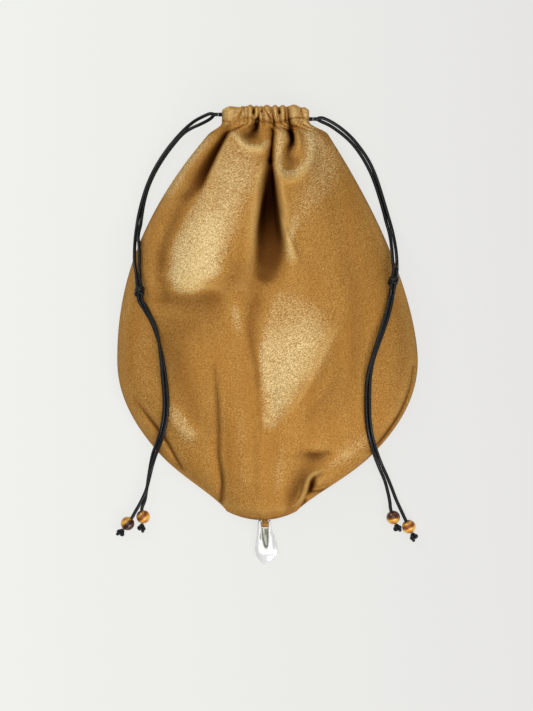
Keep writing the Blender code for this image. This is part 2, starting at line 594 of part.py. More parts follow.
def cutter(name, bm, place):
    """A solid that another one's modifier takes in, tilted like the pendant."""
    mesh = bpy.data.meshes.new(name)
    bm.to_mesh(mesh)
    bm.free()
    tool = bpy.data.objects.new(name, mesh)
    bpy.context.collection.objects.link(tool)
    tool.location = Vector(place) * MM
    tool.rotation_euler = (PENDANT_TILT, 0.0, 0.0)
    tool.hide_render = True
    tool.display_type = "WIRE"
    return tool


def join(piece, tool):
    union = piece.modifiers.new(tool.name, "BOOLEAN")
    union.operation = "UNION"
    union.object = tool
    union.solver = "EXACT"


def build():
    for old in list(bpy.data.objects):
        bpy.data.objects.remove(old, do_unlink=True)
    panel("front_panel", 1, FRONT_COLUMNS, FRONT_ROWS, FRONT_RUFFLES, FRONT_FOLDS, GOLD)
    panel("back_panel", -1, BACK_COLUMNS, BACK_ROWS, BACK_RUFFLES, (), GOLD)
    drawcord("left", -1, LEFT_CORD_LEVEL, LEFT_KNOT, LEFT_BEADS,
             (LEFT_UPPER_A, LEFT_UPPER_B), (LEFT_LOWER_A, LEFT_LOWER_B))
    drawcord("right", 1, RIGHT_CORD_LEVEL, RIGHT_KNOT, RIGHT_BEADS,
             (RIGHT_UPPER_A, RIGHT_UPPER_B), (RIGHT_LOWER_A, RIGHT_LOWER_B))
    pivot = (PENDANT_X, BODY_BOTTOM - PIVOT_DROP, SEAM_HEIGHTS[0][1])
    pendant_tab(pivot)
    silver_pendant(pivot)


build()
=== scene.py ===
"""Looks of a gold satin potli bag that lies on its back, with its drawcords, beads and pendant.

Sizes are in millimetres unless a line says otherwise. X runs across the bag, Y from its
bottom to its mouth and Z up from the floor.
"""

import math

import bmesh
import bpy
import numpy as np
from mathutils import Matrix, Vector


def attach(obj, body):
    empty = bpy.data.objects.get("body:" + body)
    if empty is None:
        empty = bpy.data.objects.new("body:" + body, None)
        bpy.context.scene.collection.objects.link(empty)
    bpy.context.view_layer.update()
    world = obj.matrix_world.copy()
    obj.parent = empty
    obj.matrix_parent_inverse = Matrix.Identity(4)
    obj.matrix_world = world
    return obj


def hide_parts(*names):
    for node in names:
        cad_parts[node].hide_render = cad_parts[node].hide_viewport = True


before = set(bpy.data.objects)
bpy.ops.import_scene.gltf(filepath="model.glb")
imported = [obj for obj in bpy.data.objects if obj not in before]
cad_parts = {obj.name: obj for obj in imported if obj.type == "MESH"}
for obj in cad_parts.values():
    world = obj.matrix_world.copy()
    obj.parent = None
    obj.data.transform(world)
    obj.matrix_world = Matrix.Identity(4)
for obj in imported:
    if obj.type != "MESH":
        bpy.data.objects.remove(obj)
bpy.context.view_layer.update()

MM = 0.001  # metres in a millimetre

# Camera: straight above the bag, with the photograph's frame
PICTURE_HEIGHT = 711
MM_PER_PIXEL = 0.58
FRAME_CENTRE = (-0.6, -9.0)
CAMERA_HEIGHT = 1900.0
FOCUS_HEIGHT = 14.0  # height at which the frame has its stated scale

# Cloth body, as the solids have it
WALL = 1.0
BODY_BOTTOM = -104.4
WIDEST = -11.6
STITCH = 126.4
BELLY_HALF = 87.0
BOTTOM_HALF = 20.0
BOTTOM_LEAN = -3.4
LEFT_SHOULDER = 27.5
RIGHT_SHOULDER = 30.0
LEFT_SHOULDER_CURVE = 2.14
RIGHT_SHOULDER_CURVE = 1.62
FLANK_CURVE = 2.10
FLANK_ROUND = 1.20
NECK_BLEND = 7.0
NECK_BEND = 122.5  # height of the bend from the casing into the shoulders
RUFFLE_FADE = 15.0
BOTTOM_OPENS = 8.0  # height over which the body opens from its bottom edge
TAB_LIFT = 1.1  # how far the seam stands off the pendant's tab
TAB_HALF = 3.33
FRONT_LOWEST = 3.5  # height that no fold of the front goes below
FOLD_FADE = 0.7  # power with which folds fade towards the seams
REST_RISE = 2.5  # how fast the back comes down to the floor from its seams
FLOOR_GAP = 0.05
EVEN_COLUMNS = 0.25  # share of even spacing among a panel's columns
EVEN_ROWS = 0.55  # and among its rows
LAST_ROW_BELOW = 1.2  # of the body, below the stitches
BOTTOM_BOW = 4.9
BOW_REACH = 40.0
SEAM_HALF = 0.75
SEAM_HEIGHTS = ((-104.4, 4.6), (-60, 5.2), (0, 6.5), (60, 7.5), (126.4, 10.5))
CROWN_HEIGHTS = ((-104.4, 5.6), (-101, 9.6), (-92, 14.2), (-60, 21.5), (-11.6, 26.5), (45, 28.5), (90, 26),
    (112, 21.5), (126.4, 18.5))
REST_EDGE = 0.62
# Reaches of the hollows that the satin's painted shade follows
HOLLOW_REACHES = (3, 9)  # in rows or columns
FLANK_HOLLOW = 0.85  # share of the folds' painted shade that is taken off at the neck's bend
FLANK_START = 14.0
FLANK_FADE = 4.0

# Casing
CASING_TOP = 135.2
CASING_DROP = 1.6
CREST = 1.5
CASING_LEFT = -20.0
CASING_RIGHT = 17.7
CASING_MIDDLE = 10.5
CASING_RADIUS = 6.0
CASING_OPENING = math.radians(40.0)
TUNNEL_HALF = 1.85
TUNNEL_SLACK = 1.5
HEM_FOOT = 124.9
HEM_TURN = 0.8  # of the hem's inner rows above the stitches and above its foot
RUFFLE_AT_STITCH = 0.8  # share of a ruffle's rise that is left at the stitches
RUFFLE_INSIDE = 0.12
FOLD_AT_CASING = 0.5
FOLD_STEP = 2.0
FOLD_NARROWEST = 0.6
FOLD_FREE = 9.0  # how far folds may sink below the casing, where no cord is under them
FREE_BELOW = 0.6  # how far below the stitches that starts
FREE_FADE = 3.0  # height over which it comes in
END_SLACK = (0.55, 0.3)  # share of the way to a casing's end, where the hem slackens
CREST_MEAN = 0.5
CREST_RUFFLE = 3.2
CREST_FADE = 4.0
CREST_END = 0.97
STITCH_LENGTH = 1.9
STITCH_PATH = ((0.0, -0.25), (0.3, 0.08), (0.5, 0.12), (0.7, 0.08), (1.0, -0.25))
STITCH_PITCH = 2.6
THREAD = 0.34
SLOTS = (-5.8, 3.6, 12.4)  # X of the deep folds that the stitches run down into
SLOT_HALF = 1.6
PANEL_WIDTH = 210.0

# Cords, beads and pendant
CORD = 2.0
CORD_STEP = 0.9
CORD_MAP = 0.16  # turns of the twist's map a millimetre
MERGE = 1e-7  # metres
TIP = 0.25  # share of its radius that a rounded tube has at its very end
PAIR_CLOSE = 1.04  # of a cord's width between two strands that run together
PAIR_APART = 1.6
PAIR_FADE = 1.4
PAIR_FREE = 14  # points from the casing over which a strand comes free
PAIR_SIDE = 0.54
PAIR_TILT = 0.16
EXIT_LEFT = -28.9
EXIT_RIGHT = 26.6
LEFT_LEVEL = 131.0
RIGHT_LEVEL = 128.4
EXIT_SPREAD = 2.0
BEAD = 8.0
BEAD_BORE = 2.6
BORE_RIM = 0.35  # width of the soft rim
BORE_DEEP = 0.55
BORE_STEP = 0.1
CLEAR = 0.3
KNOT_LENGTH = 7.4
# Wraps of a pair's knot: place along the cord, radius, first angle, turns and length
KNOT_WRAPS = ((-1.0, 2.1, 0.4, 1.15, 1.5), (1.1, 2.3, 2.6, 1.1, 1.7))
KNOT_SQUEEZE = 0.8
KNOT_STEPS = 22  # a turn
KNOT_DRAWN_IN = 0.28
KNOT_RADII = (1.0, 0.95)  # of the cord in the wraps and the pass
# Its pass over the front, as distances across, along and up
KNOT_PASS = ((-1.0, -3.2, 0.6), (-1.2, -1.9, 1.9), (0.2, -0.2, 2.7), (1.9, 1.0, 1.9), (2.4, 2.3, 0.4),
    (1.2, 3.2, -0.4))
STOPPER_REACH = 2.1
STOPPER_STEPS = 60
STOPPER_RADIUS = 0.92
STOPPER_CORE = 0.95
STOPPER_CUT = 0.4
STOPPER_SIZE = (0.60, 0.46, 0.75)  # across, along and up
STOPPER_TAIL = ((0.0, 0.0, 0.0), (0.9, 1.6, 0.0), (1.2, 2.9, -0.3))
PENDANT_X = -1.5
PENDANT_LENGTH = 24.0
PIVOT = (PENDANT_X, -107.4, 4.6)
PENDANT_TILT = math.radians(7.5)
DROP_COLUMNS = 96
DROP_ROWS = 110
DROP_TOP = 0.115  # share of the length where the drop's body starts
# Against the share of the length: half-widths to the left and right, half-thickness, and the
# channel's middle, half-width and depth
DROP_SECTIONS = (
    ((0.0, 4.2), (0.12, 4.3), (0.38, 5.2), (0.66, 5.9), (0.78, 5.0), (0.887, 3.4), (0.96, 1.5), (1.0, 0.35)),
    ((0.0, 3.6), (0.12, 4.0), (0.38, 6.3), (0.66, 7.9), (0.78, 7.1), (0.887, 4.4), (0.96, 1.6), (1.0, 0.35)),
    ((0.0, 1.65), (0.3, 1.95), (0.6, 2.3), (0.8, 2.0), (0.93, 1.1), (1.0, 0.28)),
    ((0.0, 0.1), (0.38, 0.25), (0.52, 0.6), (0.6, 0.8), (1.0, 0.8)),
    ((0.0, 1.75), (0.38, 1.6), (0.52, 1.0), (0.6, 0.3), (1.0, 0.3)),
    ((0.0, 1.0), (0.45, 1.0), (0.54, 0.7), (0.61, 0.0), (1.0, 0.0)),
)
PRONGS = ((-3.05, 1.15), (2.75, 0.9))  # place across and radius
PRONG_DEEP = 1.5
# Height along a prong and share of its radius there
PRONG_ROWS = ((-5.2, 1.0), (-2.6, 1.0), (0.0, 1.0), (1.4, 0.95), (2.2, 0.75), (2.5, 0.3))
DROP_SQUARE = (0.86, 0.8)  # powers that square its section, across and deep
CHANNEL_DEEP = 1.6
FACET = (3.0, 2.6, 0.5, 0.22)  # place at the top, its move down the drop, half-width and rise
FACET_FADE = (0.3, 0.2)  # share of the drop's length where it starts, and over which it comes in
SLIT = (-2.9, 0.4, 0.35)  # place, half-width and depth
SLIT_FADE = (0.42, 0.1)
CROSSBAR_RADIUS = 0.6
CROSSBAR_LENGTH = 5.8
TAB_WALL = 0.8
TAB_WIDTH = 3.6
TAB_CLEAR = 0.3
TAB_LEG = 0.15
TAB_ENDS = (6.8, 4.5, 2.4)
TAB_STEPS = 8

# Free stretches of cord, as (x, y, z) of their middle line, from the casing to the knot
LEFT_UPPER_A = ((-33.4, 131.4, 12), (-37.6, 129.8, 10.6), (-42.6, 127.2, 8.4), (-48, 123, 5.8),
    (-54, 116.8, 3.8), (-60, 109.2, 3.2), (-65.6, 100.2, 3.2), (-69.9, 91, 3.2), (-73, 81.6, 3.2),
    (-75.2, 72.6, 3.4), (-76.4, 64.8, 5), (-77, 58.4, 8.4), (-77.2, 51.4, 12.8), (-77, 44.6, 16.4),
    (-76, 38.4, 19.4))
LEFT_UPPER_B = ((-33, 128.9, 7), (-37.6, 126.4, 5), (-43, 123.8, 2.8), (-48.4, 120.2, 1.4),
    (-55, 113.4, 1.1), (-60.6, 106.1, 1.1), (-65.6, 97.8, 1.1), (-69.7, 88.4, 1.1), (-72, 78.8, 1.3),
    (-72.9, 70, 2.8), (-73.9, 62.6, 8), (-74, 56, 14.4), (-73.4, 49.6, 17.2), (-72.9, 43.8, 18.7),
    (-72.6, 38.2, 20.4))
LEFT_LOWER_A = ((-73, 20.2, 20.9), (-70, 15.4, 21.8), (-67, 10.2, 22.8), (-64.7, 4.6, 23.4),
    (-62.7, -1.6, 23.7), (-60.9, -9, 23.7), (-59.3, -18, 23.6), (-58, -28, 23), (-57.6, -37, 21.9),
    (-58.4, -46, 20.1), (-60.2, -54, 17.4), (-62.6, -61, 13.5), (-65.2, -67.4, 8.8), (-67.2, -73.6, 5.4),
    (-68.8, -80, 4.6), (-70.8, -87.6, 5.6), (-74, -94.6, 4.8), (-77.4, -100.6, 4.1))
LEFT_LOWER_B = ((-70.2, 20.4, 22.4), (-67.9, 15, 23.8), (-65.4, 10, 25), (-63.6, 4.2, 25.8),
    (-62.4, -2.6, 26.1), (-61.7, -10.6, 26.1), (-61, -19.4, 25), (-60.4, -28, 23.2), (-60.4, -37, 21.5),
    (-61.4, -45.4, 19.5), (-63.2, -52.6, 16.4), (-65.4, -58.8, 13), (-67.6, -64.6, 7.8), (-68.8, -71, 2.9),
    (-69.6, -78, 1.6), (-70.2, -85, 2.6), (-71, -91.6, 3.5), (-71.8, -97.8, 3.9))
RIGHT_UPPER_A = ((31.6, 129, 11.8), (37.1, 126.8, 9.6), (43, 123.1, 7), (49, 118, 4.6), (54.2, 111.8, 3.4),
    (59, 104.6, 3.2), (62.8, 96.4, 3.2), (65.8, 87.6, 3.2), (68.2, 79.6, 3.3), (70.6, 71.4, 3.7),
    (72.6, 64, 5.8), (73.9, 57, 9.6), (74.7, 50.4, 13.4), (75, 43.6, 16.2))
RIGHT_UPPER_B = ((30.9, 127.3, 6.6), (36.2, 124.8, 4.4), (42, 120.6, 2.4), (47.6, 115.2, 1.1),
    (52.4, 108.8, 1.1), (57, 101.2, 1.1), (60.8, 93, 1.1), (63.7, 84.8, 1.1), (66.1, 77, 1.4),
    (67.9, 69.8, 3), (69.4, 63, 7.2), (70.4, 56.6, 11.8), (70.9, 50.2, 15.2), (71.4, 43.6, 17.6))
RIGHT_LOWER_A = ((72.6, 26, 19), (71.4, 19.6, 20.3), (69.6, 13, 21.4), (67.4, 6.4, 22.3), (65, -0.2, 23),
    (62.6, -6.8, 23.4), (60.6, -13.6, 23.5), (59.4, -21, 23.3), (58.9, -29, 22.7), (58.9, -37.4, 21.6),
    (59.2, -45.4, 20), (60.2, -53, 17.8), (62, -60.2, 13.9), (64.2, -66.8, 8.8), (66.8, -73.2, 5.2),
    (69.8, -79.8, 4.2), (72.4, -86.2, 4), (75, -93, 4), (78.2, -100, 4))
RIGHT_LOWER_B = ((70, 25.4, 20.5), (68.6, 19, 21.8), (66.8, 12.4, 23), (64.8, 6, 24.1), (62.8, -0.4, 25.3),
    (60.8, -6.9, 25.9), (59, -13.6, 25.7), (57.2, -20.8, 24.7), (56.2, -29, 23.5), (56.1, -37.4, 22.3),
    (56.4, -45.6, 20.8), (57.6, -53.6, 18.6), (59.4, -61.2, 14.9), (61.8, -68.2, 9.4), (64.2, -75, 5.4),
    (66.8, -82, 3.6), (68.8, -89, 3.6), (70.6, -95.4, 3.9))

# Middle of each knot and bead, with the way its cord runs through it
LEFT_KNOT = ((-73.9, 28.6, 22.3), (0.10, -0.99, 0.0))
RIGHT_KNOT = ((72.9, 34.8, 21.4), (-0.14, -0.985, 0.0))
LEFT_BEADS = (((-81.6, -107.0), (-0.60, -0.80)), ((-72.5, -103.0), (-0.15, -0.989)))
RIGHT_BEADS = (((82.4, -108.8), (0.44, -0.898)), ((73.3, -103.4), (0.36, -0.933)))

# Folds of the front: how square its section is, then rows of x, y, rise, and its half-widths to
# the right and left of the way it runs, or one half-width for both
FRONT_FOLDS = (
    # left strip and the crease beside it
    (2, ((-24, 122, 1.2, 3), (-33, 114, 2, 4), (-42, 103, 2.2, 5), (-51, 91, 1.8, 6), (-59, 78, 0.8, 7))),
    (1.5, ((-17, 128, -2.5, 2, 1.2), (-23.5, 119, -5, 3.5, 1.3), (-28.7, 109.3, -5.6, 5, 1.4),
        (-33.8, 98.2, -5.2, 6.5, 1.4), (-38, 89, -3.6, 8, 1.8), (-43, 82, -1.4, 8, 4),
        (-48, 74, -0.4, 8, 6))),
    (2, ((-49, 80, -0.8, 5, 6), (-57, 65, -1.8, 5, 7), (-61, 49, -2.2, 5, 8), (-60.5, 34, -1.6, 5, 8),
        (-59, 24, -0.4, 5, 6))),
    # bright lobe: a ridge across its foot
    (1.7, ((-60, 30, 0.6, 2.5, 14), (-47, 29, 2.4, 2.5, 20), (-34, 30.5, 2.2, 3, 20),
        (-22, 29, 0.6, 4, 14))),
    (2, ((-27, 104, 0.8, 6, 7), (-33, 80, 2.2, 8, 9), (-38, 58, 2, 10), (-41, 40, 0.5, 10))),
    # central pleat
    (1.5, ((3.9, 127, -3, 1.4), (3, 118, -4.6, 1.7), (1.6, 104, -6.5, 2.4, 2.2))),
    (3.6, ((1.6, 104, -2, 2), (1.2, 97, -6.5, 3.2), (0.9, 88, -8.2, 4.4, 4.8), (0.8, 76, -8, 5.4, 6.4),
        (1, 64, -6.4, 7, 7.8), (1.2, 52, -4, 8, 9.5), (0.5, 40, -2.2, 9, 10), (-4, 26, -0.8, 8, 9))),
    (2, ((7, 72, 0.4, 3, 1.2), (10.5, 62, 1.6, 4, 1.6), (14.5, 50, 1.2, 5, 2.5), (17, 42, 0.2, 6, 4))),
    (2, ((-4, 27, -0.6, 6), (-11, 12, -1.2, 6, 5), (-9, -8, -1, 6, 4), (-5, -20, -0.7, 5, 1.5),
        (-4, -30, -0.2, 5, 1.5))),
    # hollow under the casing and the ring round it
    (2, ((-6.3, 127, -3, 1.4, 1.3), (-7.3, 123, -4.4, 2.6, 2.4), (-9.3, 118.5, -3.4, 4.6, 4.2),
        (-9.5, 115.5, -1, 5))),
    (2, ((-20, 120, 1, 2.6), (-13.5, 112.8, 1.9, 3.2, 3), (-6, 110.5, 1.8, 3.4, 3), (0.4, 113, 1, 2.4))),
    # slot to the right, the small fold in it, and the ring round it
    (1.6, ((12.3, 127, -3, 1.1), (13.2, 120, -5.2, 1.6, 1.5), (14.2, 114.5, -3.8, 2.2, 1.6),
        (12.2, 107, -1.4, 4, 3))),
    (2, ((17.2, 121, 0.8, 1.4), (18.6, 115, 1.4, 1.6), (18.2, 109, 0.5, 2))),
    (2, ((15, 103, -1.6, 5.5), (14, 99, -1.4, 5))),
    (2, ((25.5, 119, 0.6, 3), (25.6, 110, 1.8, 4, 3), (23.6, 101, 2.2, 5, 3), (18.5, 95, 2.2, 4.5, 3),
        (11.5, 92.5, 1.8, 4, 2.6), (7.5, 95, 0.6, 3, 2.4))),
    # right shoulder and flank
    (2, ((33, 104, -0.8, 7), (45, 70, -1.4, 8), (52, 30, -0.8, 7), (53, -8, -0.7, 5), (51, -40, -0.4, 5))),
    # facet on the right of the middle: a ridge along its lower edge
    (1.8, ((44, 12, 0.4, 12, 4), (37, 2, 2, 16, 3.2), (29, -14, 2.6, 20, 3.2), (21, -29, 2.2, 16, 3.4),
        (10, -44, 1.2, 10, 4), (2, -54, 0.4, 7, 4))),
    # left of the middle: long crease to the bottom
    (1.5, ((-31, -14, -0.2, 3, 1.2), (-29.5, -30, -0.9, 3.4, 1.4), (-28.3, -50, -1.3, 4, 1.5),
        (-28.4, -66, -1.5, 4, 1.3), (-26.3, -82, -2.2, 4.5, 1.2), (-26.6, -95, -2, 4, 1.2))),
    (2, ((-60, -42, 0.4, 3, 8), (-50, -52, 1.3, 3, 9), (-40, -57, 0.5, 3, 8))),
    # creases inside the two lower seams
    (1.4, ((-77, -34, -0.8, 2, 1.6), (-70.7, -42.4, -3, 2.4, 1.4), (-63, -52, -4, 2.6, 1.2),
        (-57, -61, -4, 2.4, 1.2), (-51.5, -71, -3.4, 2, 1.1), (-48, -76, -1, 1.5, 1.1))),
    (1.5, ((84.2, -16, -1.5, 1.2, 1.4), (82.2, -28, -3.6, 1.2, 1.4), (77.4, -40.5, -4.6, 1.2, 1.4),
        (71.2, -50.5, -4.6, 1.2, 1.4), (64, -59.6, -4, 1.2, 1.4), (59, -64.5, -1.5, 1.2, 1.4))),
    # lower right: crumple beside the seam
    (1.8, ((16, -64, -0.4, 4, 2), (26, -65.5, -1.6, 5, 2.2), (36, -64.8, -0.5, 4, 2))),
    (2, ((34, -67, 0.8, 3, 6), (47, -65, 1.8, 4, 7), (58, -57, 0.8, 5, 7))),
    (2, ((25, -70, -1.2, 5), (18, -78, -2, 5.5, 5), (14.5, -89, -2.4, 5, 4), (12, -97, -1, 4))),
    (2, ((33, -75.5, 0.6, 1.4), (27, -78, 1.8, 1.5), (23.4, -81.5, 2.6, 1.4), (21.8, -88, 2.6, 1.3),
        (19, -95, 1.8, 1.3), (14, -99.5, 0.5, 1.3))),
    (1.5, ((26.5, -80, -1.2, 1.6), (26, -84.5, -4.2, 2, 1.8), (23.6, -90, -2.6, 1.5, 1.4),
        (21.8, -95.5, -1.2, 1.2))),
    (1.6, ((27, -87, -1.6, 1.4, 1.2), (33, -86.6, -1.4, 1.3, 1.1), (39, -83, -0.4, 1.2, 1))),
    (2, ((4, -30, -0.7, 5), (4, -58, -0.8, 5), (2, -85, -0.5, 6))),
    (2, ((-14, -50, 0.7, 6), (-12, -80, 0.7, 6))),
)
FRONT_RUFFLES = ((-22.4, 2.2, 3.9), (-14.4, 1.3, 0.9), (-12.4, 1.2, 0.7), (-10, 2.8, 1.5), (-6.4, 1.9, 0.9),
    (-3.8, 1.3, 0.8), (-0.4, 2.6, 1.7), (4.4, 2.6, 1.2), (8.8, 2.4, 1.4), (15.4, 3.2, 3), (22, 2.2, 2.3))
# Folds of the casing, as rows of the same kind
CASING_FOLDS = (
    (2, ((-8, 133.8, -1.4, 0.7), (-8.1, 132.2, -3.2, 0.9), (-8.2, 130.4, -0.8, 0.7))),
    (2, ((-3.4, 134, -0.8, 0.5), (-3.5, 132.6, -2.2, 0.6), (-3.6, 131.2, -0.6, 0.5))),
    (2, ((6.7, 134, -1.2, 0.6), (6.8, 132, -3.2, 0.8), (7, 130.2, -0.6, 0.6))),
    (1.6, ((11.9, 134.5, -1.8, 0.6), (12.2, 131, -3.4, 0.7, 0.6), (12.3, 127, -3, 0.9))),
    (1.6, ((-5.2, 131.8, -0.8, 0.6), (-5.4, 129, -3, 0.8, 0.7), (-6, 127, -2.6, 1))),
    (1.6, ((2.4, 133.4, -0.8, 0.6), (3.2, 130, -2.8, 0.6), (3.7, 126.6, -2.4, 0.8))),
    (1.6, ((-1.6, 133.6, -0.8, 0.4, 0.5), (0.6, 130, -1.6, 0.5), (2.6, 127, -1.2, 0.6))),
    (1.6, ((-14.4, 134.4, -1.6, 0.9, 0.5), (-15.8, 131.5, -1.9, 1.3, 0.6), (-17.2, 129, -1.6, 1.5, 0.7),
        (-17.5, 127, -1.4, 1.4, 0.8))),
    (2, ((19.3, 134.2, -1.4, 0.8), (20, 131, -1.2, 0.9), (21, 128, -0.6, 1))),
    (1.8, ((10.4, 131, -0.6, 0.5), (10.4, 128, -1.8, 0.6), (10.2, 126, -1.2, 0.6))),
    (1.8, ((-26, 127.6, -0.7, 0.7), (-20.5, 125.8, -0.9, 0.7), (-16.5, 127, -0.8, 0.7),
        (-13.2, 129, -0.9, 0.6), (-8.5, 128.7, -0.9, 0.6), (-5, 127, -0.9, 0.6), (0, 126.2, -0.9, 0.6),
        (4, 125.8, -0.8, 0.6), (10, 126, -0.9, 0.6), (14.5, 128.6, -0.9, 0.6), (20.5, 129.2, -0.9, 0.6),
        (25, 127.4, -0.7, 0.6))),
)
